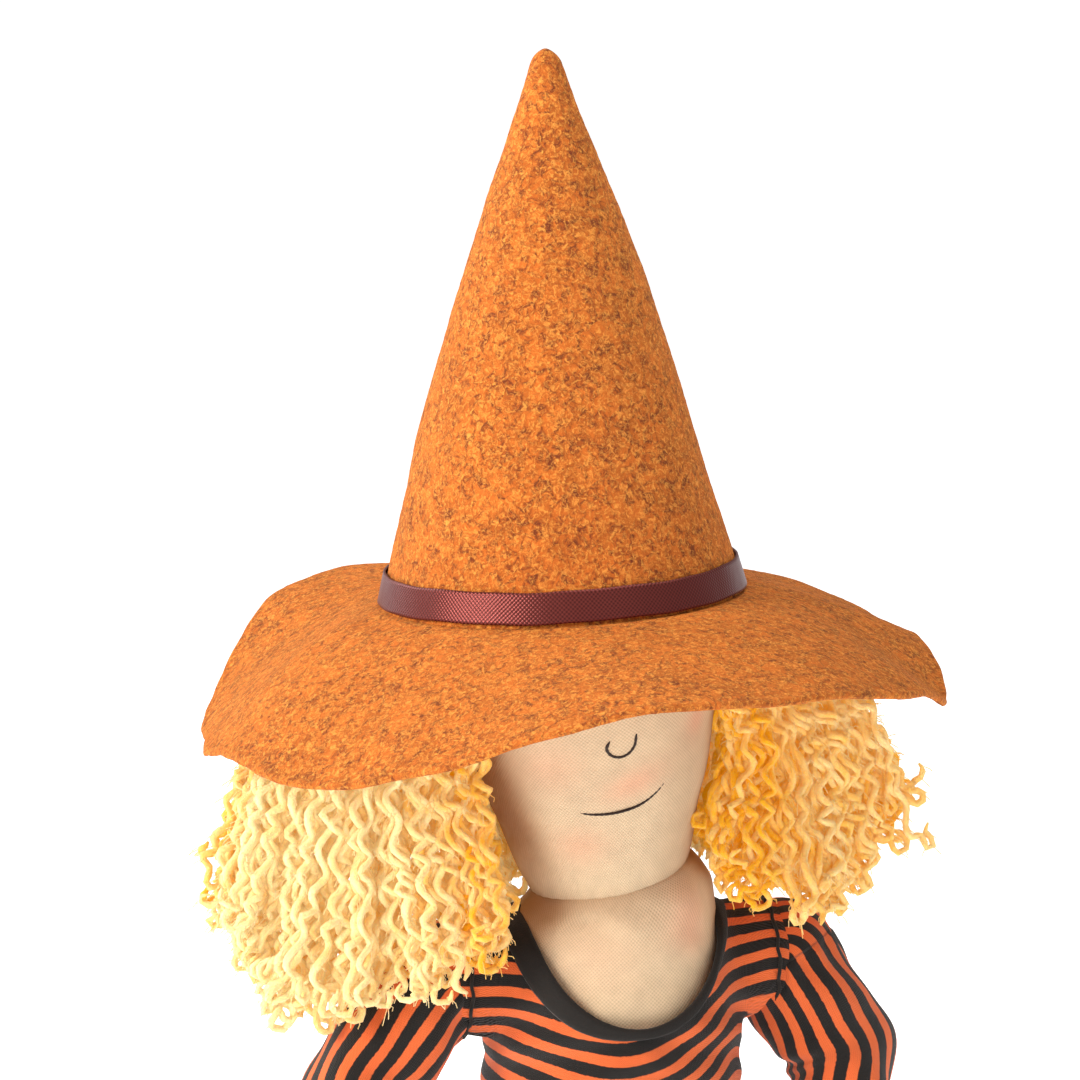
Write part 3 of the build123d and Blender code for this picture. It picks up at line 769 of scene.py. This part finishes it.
def build_side_lock(side):
    """Hanging lock beside the face, pale outside and painted deeper gold as shade underneath, with looped ends.
    """
    spec = LOCKS[side]
    rng = random.Random(spec["seed"])
    yarn = doll_settings().yarn / MM / 2
    line = smooth_curve_3d(spec["ends"])
    d0, d1, h0, h1 = spec["from"]
    paths, gold_and_shade_levels = [], []
    for index in range(spec["count"]):
        across = (index % ROW + rng.random()) / ROW
        layer = (index // ROW + rng.random()) / (spec["count"] / ROW)      # 0 in front, 1 behind
        root = on_head(d0 + (d1 - d0) * across, h0 + (h1 - h0) * across - 6 * layer, 2.0)
        knee = (np.array(spec["knees"][0]) * (1 - across) + np.array(spec["knees"][1]) * across)
        back = np.array([0, spec["depth"] * layer, 0])
        knee = knee + back * 0.8 + [rng.uniform(-3, 3), rng.uniform(-3, 3), rng.uniform(-4, 4)]
        end = line(across) + back + [rng.uniform(-5, 5), rng.uniform(-4, 4), rng.uniform(-7, 10) + 10 * layer]
        wave = random.Random(spec["seed"] * 1000 + index // 4)      # neighbours share their kinks
        paths.append(strand([root, knee * 0.6 + root * 0.4 + [0, 0, 3], knee, (knee + end) / 2, end], wave,
                            swing=wave.uniform(1.4, 2.5), pitch=wave.uniform(9, 13),
                            loop=rng.choice((0.0, 2.0, 2.6))))
        # deeper gold in the back layers, towards the face and on the left lock: painted shade
        near_face = ease(0.5, 0.95, across if side == "right" else 1 - across)
        deep_gold_and_shade = spec["deep_gold_and_shade"] + 0.75 * layer + 0.8 * near_face * rng.random() + rng.uniform(-0.12, 0.12)
        gold_and_shade_levels.append(np.clip(deep_gold_and_shade, 0, 1))
    hair_piece(f"{side}_hair_lock", f"hair_{side}", paths, gold_and_shade_levels, yarn, rng)


def smooth_curve_3d(points):
    """Function from 0 to 1 along a smooth line through points in space."""
    points = np.array(points, float)
    place = np.linspace(0, 1, len(points))
    parts = [smooth_curve(np.stack([place, points[:, k]], 1)) for k in range(3)]
    return lambda at: np.array([float(part(np.array(at))) for part in parts])


def build_back_hair():
    """Three layers of yarn that hang down the back of the head."""
    rng = random.Random(37)
    yarn = doll_settings().yarn / MM / 2
    paths, gold_and_shade_levels = [], []
    count, start, end = 150, 92, 268         # strands, and the degrees round the head they cover
    for index in range(count):
        layer = index % 3
        turn = start + (end - start) * (index + rng.random()) / count
        out = 3.0 + 2.6 * layer
        low = rng.uniform(-21, -9) - 2 * layer
        middle = [on_head(turn + rng.uniform(-3, 3), h, out) for h in (68, 48, 26, 6)]
        tip = on_head(turn + rng.uniform(-4, 4), low, out + 4)
        paths.append(strand([*middle, tip], rng, swing=rng.uniform(1.3, 2.1), pitch=rng.uniform(8, 11),
                            loop=rng.choice((0.0, 0.0, 2.2))))
        # inner layers in deeper gold: painted shade in the depth of the hair
        gold_and_shade_levels.append(np.clip(0.55 - 0.18 * layer + rng.uniform(-0.15, 0.25), 0, 1))
    hair_piece("back_hair", "hair_back", paths, gold_and_shade_levels, yarn, rng)


def build_crown_hair():
    """Strands laid from the parting down both sides of the head, under the hat."""
    rng = random.Random(41)
    yarn = doll_settings().yarn / MM / 2
    paths, gold_and_shade_levels = [], []
    across, forth, up = HEAD_AXES
    count, front, back, roundness = 46, 27, -35, 70      # strands a side, ends of the parting, its curve
    for sign in SIDES.values():
        for index in range(count):
            share = (index + rng.random()) / count
            ridge = front + (back - front) * share
            top = (HEAD_PIVOT + up * (HEAD_TOP - ridge * ridge / roundness) + forth * -ridge
                   + across * sign * 1.2)
            turn = sign * (48 + 120 * share)
            path = [top + up * 1.5, *[on_head(turn, h, 2.2) for h in (84, 72, 60, 50)]]
            path[1] = (np.array(path[0]) + np.array(path[2])) / 2 + up * 4.5
            paths.append(strand(path, rng, swing=rng.uniform(0.7, 1.2), pitch=rng.uniform(8, 11)))
            gold_and_shade_levels.append(rng.uniform(0.35, 0.8))
    hair_piece("crown_hair", "hair_crown", paths, gold_and_shade_levels, yarn * 1.15, rng)
    ridge = np.linspace(front, back, 40)
    seam = HEAD_PIVOT + np.outer(HEAD_TOP - ridge ** 2 / roundness + 2.6, up) - np.outer(ridge, forth)
    stitched = tubes("parting_thread", [seam], [0.9 + 0.25 * np.cos(np.arange(40) * 1.6)], finish_of("parting"))
    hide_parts("parting_stitch")
    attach(stitched, "head")


# ---- body ------------------------------------------------------------------------------------
# half width and half depth at each height
CHEST_WIDE = smooth_curve([(150, 38), (165, 39.5), (180, 40), (192, 38), (205, 35), (212, 31), (217, 26.2),
                           (219, 24.6), (221, 21)])
CHEST_DEEP = smooth_curve([(150, 30), (165, 31.5), (180, 32), (192, 30), (205, 30.4), (212, 28.6), (217, 26.2),
                           (219, 24.8), (221, 21)])
DRESS_WIDE = smooth_curve([(0, 61.4), (60, 56), (105, 48.4), (150, 42.8), (170, 42.6), (190, 43.5), (205, 38),
                           (214, 26)])
DRESS_DEEP = smooth_curve([(0, 52.6), (60, 47.2), (105, 41), (150, 37.2), (170, 36.8), (190, 34), (205, 30.4),
                           (214, 24)])
NECKLINE_Z = 213.0


def build_chest():
    """Stuffed chest and neck, with folds under the neck seam, blush rubbed in, and painted shade at its sides.
    """
    degrees = np.linspace(-180, 180, 260, endpoint=False)
    height = np.linspace(221, 152, 80)
    h, d = np.meshgrid(height, degrees, indexing="ij")
    angle = np.radians(d)
    plain = np.stack([CHEST_WIDE(h) * np.cos(angle), CHEST_DEEP(h) * np.sin(angle), h], -1)
    beside = plain[..., 0] - HEAD_PIVOT[0]
    rise = 0.14 * beside + 0.15 * np.clip(beside, 0, None)
    plain[..., 2] += rise * ease(202, 217, h)
    plain[..., 0] += (HEAD_PIVOT[0] + 3) * ease(195, 217, h) + 3.2 * ease(0, 26, beside) * ease(204, 217, h)
    folds = (0.55 * np.sin(angle * 9 + h * 0.11) * np.exp(-((h - 213) / 6) ** 2)
             + 1.2 * bumps(plain, 26, 6.0) + 0.3 * bumps(plain, 8, 2.0))
    outward = np.stack([np.cos(angle), np.sin(angle), 0 * h], -1)
    points = plain + outward * (folds * ease(217, 212, h))[..., None]
    front = d + 90
    blush = 0.45 * rubbed_spot(front, h, 33, 207, 9, 8) + 0.15 * rubbed_spot(front, h, -20, 200, 16, 10)
    # brown tint: a darker band along the neck seam, and painted shade on both sides where the chest turns away
    # from the light
    stain_and_shade = 0.2 * np.exp(-((h - 218) / 3.2) ** 2) + 0.5 * ease(48, 72, front) + 0.45 * ease(-40, -62, front)
    uv = flat_uv(np.linspace(0, 230, len(degrees) + 1), height)
    chest = cloth_grid("chest_cloth", points, finish_of("calico"), uv=uv,
                       tints={"blush": blush, "stain_and_shade": np.clip(stain_and_shade, 0, 0.8)})
    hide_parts("chest_skin", "neck_padding")
    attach(chest, "glove")


def dress_gap(points):
    """Signed distance, about, from the dress: a shaped tube joined to two round shoulders."""
    x, y, z = points[..., 0], points[..., 1], points[..., 2]
    wide, deep = DRESS_WIDE(z), DRESS_DEEP(z)
    scale = np.sqrt((x / wide) ** 2 + (y / deep) ** 2)
    gap = (scale - 1) * np.minimum(wide, deep)
    for side, sign in SIDES.items():
        centre = SHOULDER[side]
        along = np.clip(sign * x, 26, 50.5)
        cap = np.sqrt((x - sign * along) ** 2 * 2.0 + (y - centre[1]) ** 2 + (z - centre[2]) ** 2) - 19.3
        blend = 7.0
        mix = np.clip(0.5 + 0.5 * (cap - gap) / blend, 0, 1)
        gap = cap * (1 - mix) + gap * mix - blend * mix * (1 - mix) * 0.5
    return gap


def dress_surface(origins, directions):
    """Where rays from inside meet the dress."""
    near, far = np.zeros(origins.shape[:-1]), np.full(origins.shape[:-1], 90.0)
    for _ in range(24):
        middle = (near + far) / 2
        inside = dress_gap(origins + directions * middle[..., None]) < 0
        near, far = np.where(inside, middle, near), np.where(inside, far, middle)
    return origins + directions * near[..., None]


def in_neckline(points, margin=0.0):
    """Inside the scoop in front, or the shallow curve behind."""
    x, y, z = points[..., 0], points[..., 1], points[..., 2]
    wide = np.where(y < 0, 32.0, 30.0) + margin
    deep = 13.0 + 22.0 * ease(6, -6, y) + margin
    return (x / wide) ** 2 + (np.minimum(z - NECKLINE_Z, 0) / deep) ** 2 < 1


DRESS_CORE_Z = 165.0                     # the upper dress is drawn by rays from here


def dress_rays(degrees, elevation):
    """Points of the upper dress in the given directions."""
    angle = np.radians(degrees)
    direction = np.stack([np.cos(angle) * np.cos(elevation), np.sin(angle) * np.cos(elevation),
                          np.sin(elevation)], -1)
    return dress_surface(np.zeros(direction.shape) + [0, 0, DRESS_CORE_Z], direction)


def neckline_elevation(degrees, margin=0.0):
    """Elevation, from the core of the dress, at which its cloth ends at the neckline."""
    trial = np.linspace(math.radians(84), math.radians(2), 160)
    e, d = np.meshgrid(trial, degrees, indexing="ij")
    first_out = np.argmax(~in_neckline(dress_rays(d, e), margin), axis=0)
    edge = trial[first_out]
    ring = np.concatenate([edge[-3:], edge, edge[:3]])
    return np.convolve(ring, np.ones(7) / 7, mode="valid")


def build_dress():
    """Striped dress from the neckline to the hem, with soft folds, its binding and its seams, the armhole seams
    drawn black as painted shade.
    """
    degrees = np.linspace(-180, 180, 300, endpoint=False)
    top = neckline_elevation(degrees, 1.0)
    share = np.linspace(0, 1, 46)[:, None]
    e = top[None] * (1 - share)
    d = np.repeat(degrees[None], 46, axis=0)
    upper = dress_rays(d, e)
    z = np.linspace(DRESS_CORE_Z, HEM_Z + 1.2, 112)[1:]
    gz, gd = np.meshgrid(z, degrees, indexing="ij")
    angle = np.radians(gd)
    direction = np.stack([np.cos(angle), np.sin(angle), 0 * gz], -1)
    lower = dress_surface(np.stack([0 * gz, 0 * gz, gz], -1), direction)
    points = np.concatenate([upper, lower])
    d = np.concatenate([d, gd])
    angle = np.radians(d)
    height = points[..., 2]
    outward = np.stack([np.cos(angle), np.sin(angle), 0 * angle], -1)
    skirt = ease(150, 30, height)
    swags = (2.6 * np.sin(angle * 7 + 0.8) + 1.4 * np.sin(angle * 12 + 2.0 + height * 0.015)) * skirt
    aside = np.abs(points[..., 0])
    near_arm = np.exp(-(((aside - 48) / 9) ** 2)) * ease(150, 172, height)
    pulls = 0.6 * np.sin(height * 0.5 + np.abs(points[..., 1]) * 0.2) * near_arm
    sag = 0.7 * np.sin((height + 0.35 * aside) * 0.42) * ease(120, 150, height) * ease(196, 180, height)
    rumple = (bumps(points, 28, 1.5) * 1.3 + bumps(points, 11, 7.5) * 0.35) * ease(51, 42, aside)
    points = points + outward * (swags + pulls + sag + rumple * ease(208, 196, height))[..., None]
    front = np.cos(np.radians(d + 90))
    lift = (-8 * np.clip(front, 0, 1) ** 2
            + 18 * np.clip((points[..., 0] + 10) / 52, 0, 1.15) ** 1.8 * ease(-0.1, 0.7, front))
    v = height - lift * ease(90, 170, height)
    u = np.repeat(np.linspace(0, 290, len(degrees) + 1)[None], len(points), axis=0)
    uv = np.stack([u, np.concatenate([v, v[:, :1]], axis=1)], -1)
    dress = cloth_grid("striped_dress", points, finish_of("jersey"), uv=uv)
    thicken(dress, 1.1)
    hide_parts("dress_front", "dress_back", "hem_band")
    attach(dress, "glove")
    build_binding()
    for side in SIDES:
        build_armhole_seam(side)


def thicken(piece, thickness_mm):
    """Gives a sheet its thickness, inwards."""
    solid = piece.modifiers.new("thickness", "SOLIDIFY")
    solid.thickness = thickness_mm * MM
    solid.offset = -1.0


def build_binding():
    """Folded strip sewn over the neckline edge."""
    wide = doll_settings().binding_width / MM
    degrees = np.linspace(-180, 180, 300, endpoint=False)
    narrow = np.clip(1 - 0.5 * np.exp(-((degrees + 92) / 26) ** 2) - 0.66 * np.exp(-((degrees + 38) / 34) ** 2)
                     - 0.4 * ease(0, 60, np.abs(degrees) * (degrees > 0)), 0.32, 1)
    rows = []
    for share, proud in ((1, 0.1), (0.93, 0.9), (0.72, 1.2), (0.4, 1.3), (0.22, 1.3), (0.07, 1.1), (-0.1, 0.5),
                         (-0.15, -0.3), (-0.08, -1.1), (0.12, -1.7), (0.45, -1.9)):
        line = dress_rays(degrees, neckline_elevation(degrees, wide * narrow * share))
        outward = line - [0, 0, DRESS_CORE_Z]
        outward /= np.linalg.norm(outward, axis=1, keepdims=True)
        rows.append(line + outward * (proud + 0.15 * np.sin(np.radians(degrees * 11))[:, None] * (proud > 0)))
    points = np.array(rows)
    piece = cloth_grid("neckline_fold", points, finish_of("binding"), loop_rows=True,
                       uv=flat_uv(np.linspace(0, 210, 301), np.arange(len(rows) + 1) * 1.2))
    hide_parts("neckline_binding")
    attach(piece, "glove")


def build_armhole_seam(side):
    """Puckered seam where the sleeve is set into the dress, a black tube that paints the shade of the fold
    along the seam.
    """
    sign, centre = SIDES[side], SHOULDER[side]
    turn = np.linspace(0, 2 * math.pi, 200)
    out = 19.7 + 0.25 * np.sin(turn * 22)
    ring = np.stack([sign * (51.3 + 0.3 * np.sin(turn * 13)), centre[1] + out * np.cos(turn),
                     centre[2] + out * np.sin(turn)], 1)
    piece = tubes(f"{side}_armhole_seam_shade", [ring], [0.6], finish_of("binding"), sides=7)
    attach(piece, "glove")


# ---- arms ------------------------------------------------------------------------------------
WRIST = {side: sum(node_box(f"{side}_cuff")) / 2 for side in SIDES}
SLEEVE_RADIUS = 18.4
CUFF_GATHERS = 15


def arm_rings(side, radius_at, rows_tube):
    """Centres, axes and radii of the rings of a sleeve, from inside the armhole to the wrist."""
    sign = SIDES[side]
    shoulder, elbow, wrist = SHOULDER[side], ELBOW[side], WRIST[side]
    upper, lower = unit(elbow - shoulder), unit(wrist - elbow)
    outward = np.array([sign, 0.0, 0.0])
    rings = []
    ball, blend = SLEEVE_RADIUS, 13.0        # round shoulder, and half the length of the elbow's bend
    spread = math.acos(np.clip(np.dot(outward, upper), -1, 1))
    for step in np.linspace(1, 0, 26)[:-1]:
        turn = spread * step
        tilt = turn + 0.06 * step
        normal = unit(upper * math.sin(spread - turn) + outward * math.sin(turn)) if spread > 1e-3 else upper
        rings.append((shoulder - normal * ball * math.sin(tilt), normal, ball * math.cos(tilt), 0.0))
    first = np.linalg.norm(elbow - shoulder)
    whole = first + np.linalg.norm(wrist - elbow)
    for reach in np.linspace(0, whole + 1.5, rows_tube):
        bend = ease(first - blend, first + blend, reach)
        centre = (shoulder + upper * reach) * (1 - bend) + (elbow + lower * (reach - first)) * bend
        normal = unit(upper * (1 - bend) + lower * bend)
        rings.append((centre, normal, radius_at(reach, first, whole), reach))
    return rings


def build_sleeve(side):
    """Full jersey sleeve whose stripes run along the arm, gathered at the armhole and the elbow."""
    sign = SIDES[side]
    cols = 200

    def radius_at(reach, first, whole):
        full = SLEEVE_RADIUS + 1.0 * math.sin(math.pi * min(reach / first, 1)) - 1.2 * min(reach / first, 1)
        return full - max(reach - first, 0) / (whole - first) * 3.6

    rings = arm_rings(side, radius_at, 110)
    turn = np.linspace(0, 2 * math.pi, cols, endpoint=False)
    underarm = np.array([-sign * 0.9, 0.35, -0.25])
    points = []
    for centre, normal, radius, _ in rings:
        first_axis, other, _ = axes_about(normal, underarm)
        ring = np.cos(turn)[:, None] * first_axis + np.sin(turn)[:, None] * other
        points.append(centre + ring * radius)
    points = np.array(points)
    centres, _, radii, reaches = (np.array(part) for part in zip(*rings))
    outward = points - centres[:, None]
    outward /= np.maximum(np.linalg.norm(outward, axis=2, keepdims=True), 1e-9)
    reach = reaches[:, None]
    first = np.linalg.norm(ELBOW[side] - SHOULDER[side])
    gathers = 0.75 * np.cos(turn * 11 + 0.6)[None] * np.exp(-((reach - 2) / 9) ** 2) * ease(0, 3, reach)
    elbow_folds = (0.85 * np.cos((reach - first) * 0.52 + 0.8 * np.sin(turn)[None])
                   * np.exp(-((reach - first) / 12) ** 2) * ease(-0.2, 0.8, np.cos(turn))[None])
    drag = (np.sin(turn * 3 + reach * 0.16) * ease(4, 16, reach)
            + bumps(points, 17, 9.0) * 1.4 * ease(2, 12, reach))
    cuff_gather = 0.8 * np.cos(turn * CUFF_GATHERS)[None] * ease(reach.max() - 12, reach.max() - 3, reach)
    shift = np.where(reach > 0, gathers + elbow_folds + drag + cuff_gather, 0)
    if side == "left":                       # this elbow is bent further, and pokes out
        poke = np.exp(-((reach - first) / 7) ** 2) * np.exp(-((np.abs(turn - math.pi) / 0.8) ** 2))[None]
        shift = shift + 3.0 * poke
    points = points + outward * shift[..., None]
    ends = np.append(turn, 2 * math.pi)
    v = (ends[None] - math.pi) * np.maximum(radii, 15.0)[:, None]
    sway = 1.6 * np.sin(reach * 0.09 + 1.0) * np.cos(ends)[None]
    u = reaches - np.linspace(26, 0, len(rings)) * (reaches == 0)
    uv = np.stack([np.repeat(u[:, None], cols + 1, axis=1), v + sway], -1)
    piece = cloth_grid(f"{side}_sleeve", points, finish_of("jersey"), uv=uv)
    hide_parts(f"{side}_upper_sleeve", f"{side}_forearm_sleeve")
    lower = unit(WRIST[side] - ELBOW[side])
    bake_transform(piece)
    build_cuff(side, lower)


def build_cuff(side, lower):
    """Bound edge of the sleeve, drawn in round the wrist."""
    turn = np.linspace(0, 2 * math.pi, 96, endpoint=False)
    first, second, _ = axes_about(lower, np.array([1.0, 0.2, 0.1]))
    rows = []
    ring = np.cos(turn)[:, None] * first + np.sin(turn)[:, None] * second
    for along, radius in ((-2.6, 12.6), (-2.2, 13.4), (0, 13.6), (1.8, 13.3), (2.6, 12.6), (2.2, 11.8),
                          (0, 11.2), (-2.2, 11.6)):
        rows.append(WRIST[side] + lower * along + ring * (radius + 0.25 * np.cos(turn * CUFF_GATHERS))[:, None])
    piece = cloth_grid(f"{side}_cuff_fold", np.array(rows), finish_of("binding"), loop_rows=True,
                       uv=flat_uv(np.linspace(0, 80, 97), np.arange(9) * 1.2))
    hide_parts(f"{side}_cuff")
    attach(piece, f"{side}_lower_arm")


FLATNESS = 0.66                          # thickness of a hand against its width


def build_hand(side):
    """Stuffed mitten hand with a thumb, flattened a little, with its seam round the edge."""
    sign = SIDES[side]
    low, high = node_box(f"{side}_hand")
    wrist, elbow = WRIST[side], ELBOW[side]
    lower = unit(wrist - elbow)
    across, forth, _ = axes_about(lower, np.array([-sign, -0.35, -0.2]))
    length = min(np.linalg.norm(high - low) * 0.62, 26.0)
    rows, reach = [], np.linspace(-4, length, 44)
    turn = np.linspace(0, 2 * math.pi, 64, endpoint=False)
    wide = smooth_curve([(-4, 8.4), (2, 8.2), (10, 10.2), (18, 9.6), (23, 6.6), (length - 0.6, 2.2),
                         (length, 0)])
    for at in reach:
        half = float(wide(np.array(at)))
        rows.append(wrist + lower * at + np.outer(np.cos(turn) * half, across)
                    + np.outer(np.sin(turn) * half * FLATNESS, forth))
    points = np.array(rows)
    points = points + (bumps(points, 9, 3.0) * 0.35)[..., None] * forth
    uv = flat_uv(np.linspace(0, 55, 65), reach)
    zero = np.zeros(points.shape[:2])
    edge = np.abs(np.cos(turn))[None] ** 30 * 0.35 + zero
    hand = cloth_grid(f"{side}_mitten", points, finish_of("calico"), uv=uv, weld=True,
                      tints={"blush": zero, "stain_and_shade": edge})
    root, tip = wrist + lower * 8 + across * 6, wrist + lower * 13.5 + across * 13.5
    thumb_path = bent_line([root, (root + tip) / 2 + lower * -0.5, tip], 0.8)
    place = np.linspace(0, 1, len(thumb_path))
    thumb_r = 4.6 * np.sqrt(np.clip(1 - (np.clip(place - 0.55, 0, 1) / 0.45) ** 2, 0.01, 1))
    thumb = tubes(f"{side}_thumb", [thumb_path], [thumb_r], finish_of("lining"), sides=20)
    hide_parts(f"{side}_hand")
    for piece in (hand, thumb):
        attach(piece, f"{side}_lower_arm")


# ---- inside the glove --------------------------------------------------------------------------
INNER_FINISHES = {
    "wadding": ["neck_roll_lower", "neck_roll_upper", "right_arm_root", "left_arm_root",
                "right_forearm_stuffing", "left_forearm_stuffing"],
    "lining": ["wrist_facing", "glove_lining", "right_finger_stall", "left_finger_stall"],
    "card": ["head_finger_tube"],
}


def finish_inner_nodes():
    """The frame's own hidden pieces keep their shapes and get their real finish."""
    for finish, nodes in INNER_FINISHES.items():
        for name in nodes:
            piece = frame["nodes"][name]
            if finish == "lining" and not piece.data.uv_layers:
                box_map(piece.data)
            piece.data.materials.clear()
            piece.data.materials.append(finish_of(finish))


def box_map(mesh):
    """Cloth UV map from the direction that each face looks in."""
    layer = mesh.uv_layers.new(name="cloth")
    for face in mesh.polygons:
        drop = max(range(3), key=lambda k: abs(face.normal[k]))
        keep = [k for k in range(3) if k != drop]
        for corner in face.loop_indices:
            place = mesh.vertices[mesh.loops[corner].vertex_index].co
            layer.data[corner].uv = (place[keep[0]], place[keep[1]])


# ---- stage -----------------------------------------------------------------------------------
def soft_light(name, place, aim, size, power, colour="#ffffff"):
    """Square area light that looks at a point."""
    lamp = bpy.data.lights.new(name, "AREA")
    lamp.energy, lamp.size, lamp.color = power, size, hex_linear(colour)
    holder = bpy.data.objects.new(name, lamp)
    holder.location = place
    holder.rotation_euler = (Vector(aim) - Vector(place)).to_track_quat("-Z", "Y").to_euler()
    bpy.context.scene.collection.objects.link(holder)


def build_stage():
    """White floor and surround, a window from the doll's right, soft cards, and a long lens."""
    scene = bpy.context.scene
    mesh = bpy.data.meshes.new("studio_floor")
    half = 60.0
    corners = [(-half, -half, 0), (half, -half, 0), (half, half, 0), (-half, half, 0)]
    mesh.from_pydata(corners, [], [(0, 1, 2, 3)])
    floor = bpy.data.objects.new("studio_floor", mesh)
    floor.location.z = HEM_Z * MM - 0.002
    scene.collection.objects.link(floor)
    material, tree = start_material("white_studio_sweep")
    mottle = grain(tree, object_place(tree), 1000 / 3)
    tone = mix(tree, mottle, (0.93, 0.93, 0.93, 1.0), (0.96, 0.96, 0.96, 1.0))
    principled = add_node(tree, "BsdfPrincipled", {"Base Color": tone, "Roughness": 1.0,
                                                   "Emission Color": WHITE, "Emission Strength": 0.70})
    add_node(tree, "OutputMaterial", {"Surface": principled.outputs[0]})
    mesh.materials.append(material)

    world = bpy.data.worlds.new("studio")
    world.use_nodes = True
    world.node_tree.nodes.clear()
    sky = add_node(world.node_tree, "Background", {"Color": WHITE, "Strength": 0.40})
    add_node(world.node_tree, "OutputWorld", {"Surface": sky.outputs[0]})
    scene.world = world
    aim = (0.0, 0.0, 0.28)
    soft_light("key_window", (-1.5, -0.55, 0.95), aim, 0.7, 34, "#fffaf2")
    soft_light("rim_window", (-0.9, 1.0, 0.9), aim, 0.7, 9)
    soft_light("top_card", (0.25, -0.15, 1.6), aim, 0.9, 12.0, "#fffdf8")
    soft_light("fill_card", (0.3, -1.4, 0.5), aim, 1.2, 1.6, "#fffdf8")

    azimuth, elevation, distance, frame_width = math.radians(-15), math.radians(9), 1.3, 0.3456
    back = Vector((math.sin(azimuth) * math.cos(elevation), -math.cos(azimuth) * math.cos(elevation),
                   math.sin(elevation)))
    right = Vector((math.cos(azimuth), math.sin(azimuth), 0))
    aim_at = Vector((0, 0, 0.330)) - right * 0.02304
    lens = bpy.data.cameras.new("camera")
    lens.sensor_width = 36.0
    lens.lens = lens.sensor_width * distance / frame_width
    camera = bpy.data.objects.new("camera", lens)
    camera.location = aim_at + back * distance
    camera.rotation_mode = "QUATERNION"
    camera.rotation_quaternion = (-back).to_track_quat("-Z", "Y")
    scene.collection.objects.link(camera)
    scene.camera = camera
    scene.view_settings.view_transform = "Standard"


# ---- operators and panel -----------------------------------------------------------------------
class PUPPET_OT_stage(bpy.types.Operator):
    """Floor, lights and camera."""
    bl_idname = "puppet.stage"
    bl_label = "Stage"

    def execute(self, context):
        build_stage()
        return {"FINISHED"}


class PUPPET_OT_hat_felt(bpy.types.Operator):
    """Cone and wavy brim."""
    bl_idname = "puppet.hat_felt"
    bl_label = "Felt hat"

    def execute(self, context):
        build_cone()
        build_brim()
        return {"FINISHED"}


class PUPPET_OT_hat_trim(bpy.types.Operator):
    """Satin ribbon, its lap and the tape inside."""
    bl_idname = "puppet.hat_trim"
    bl_label = "Hat band"

    def execute(self, context):
        build_ribbon()
        return {"FINISHED"}


class PUPPET_OT_head(bpy.types.Operator):
    """Stuffed calico head."""
    bl_idname = "puppet.head"
    bl_label = "Head"

    def execute(self, context):
        build_head()
        return {"FINISHED"}


class PUPPET_OT_face(bpy.types.Operator):
    """Stitched nose, mouth and closed eyes."""
    bl_idname = "puppet.face"
    bl_label = "Face"

    def execute(self, context):
        build_face()
        return {"FINISHED"}


class PUPPET_OT_side_hair(bpy.types.Operator):
    """Hanging locks beside the face."""
    bl_idname = "puppet.side_hair"
    bl_label = "Side hair"

    def execute(self, context):
        for side in SIDES:
            build_side_lock(side)
        return {"FINISHED"}


class PUPPET_OT_under_hair(bpy.types.Operator):
    """Yarn over the head and down its back."""
    bl_idname = "puppet.under_hair"
    bl_label = "Back and crown hair"

    def execute(self, context):
        build_back_hair()
        build_crown_hair()
        return {"FINISHED"}


class PUPPET_OT_chest(bpy.types.Operator):
    """Stuffed calico neck and chest."""
    bl_idname = "puppet.chest"
    bl_label = "Chest"

    def execute(self, context):
        build_chest()
        return {"FINISHED"}


class PUPPET_OT_dress(bpy.types.Operator):
    """Striped dress with its binding and armhole seams."""
    bl_idname = "puppet.dress"
    bl_label = "Dress"

    def execute(self, context):
        build_dress()
        return {"FINISHED"}


class PUPPET_OT_sleeves(bpy.types.Operator):
    """Striped sleeves and their cuffs."""
    bl_idname = "puppet.sleeves"
    bl_label = "Sleeves"

    def execute(self, context):
        for side in SIDES:
            build_sleeve(side)
        return {"FINISHED"}


class PUPPET_OT_hands(bpy.types.Operator):
    """Mitten hands."""
    bl_idname = "puppet.hands"
    bl_label = "Hands"

    def execute(self, context):
        for side in SIDES:
            build_hand(side)
        return {"FINISHED"}


class PUPPET_OT_inside(bpy.types.Operator):
    """Finish of the lining, the stuffing and the finger tube."""
    bl_idname = "puppet.inside"
    bl_label = "Inside"

    def execute(self, context):
        finish_inner_nodes()
        return {"FINISHED"}


OPERATORS = (PUPPET_OT_stage, PUPPET_OT_hat_felt, PUPPET_OT_hat_trim, PUPPET_OT_head, PUPPET_OT_face,
             PUPPET_OT_side_hair, PUPPET_OT_under_hair, PUPPET_OT_chest, PUPPET_OT_dress,
             PUPPET_OT_sleeves, PUPPET_OT_hands, PUPPET_OT_inside)


class PUPPET_PT_panel(bpy.types.Panel):
    """Lists the steps that build the puppet."""
    bl_idname = "PUPPET_PT_panel"
    bl_label = "Witch hand puppet"
    bl_space_type = "VIEW_3D"
    bl_region_type = "UI"
    bl_category = "Puppet"

    def draw(self, context):
        for made in OPERATORS:
            self.layout.operator(made.bl_idname)


CLASSES = (HatSettings, DollSettings, *OPERATORS, PUPPET_PT_panel)


def register():
    for made in CLASSES:
        bpy.utils.register_class(made)
    bpy.types.Scene.puppet_hat = bpy.props.PointerProperty(type=HatSettings)
    bpy.types.Scene.puppet_doll = bpy.props.PointerProperty(type=DollSettings)


def unregister():
    del bpy.types.Scene.puppet_doll
    del bpy.types.Scene.puppet_hat
    for made in reversed(CLASSES):
        bpy.utils.unregister_class(made)


def main():
    register()
    for made in OPERATORS:
        getattr(bpy.ops.puppet, made.bl_idname.split(".")[1])()


if __name__ == "__main__":
    main()
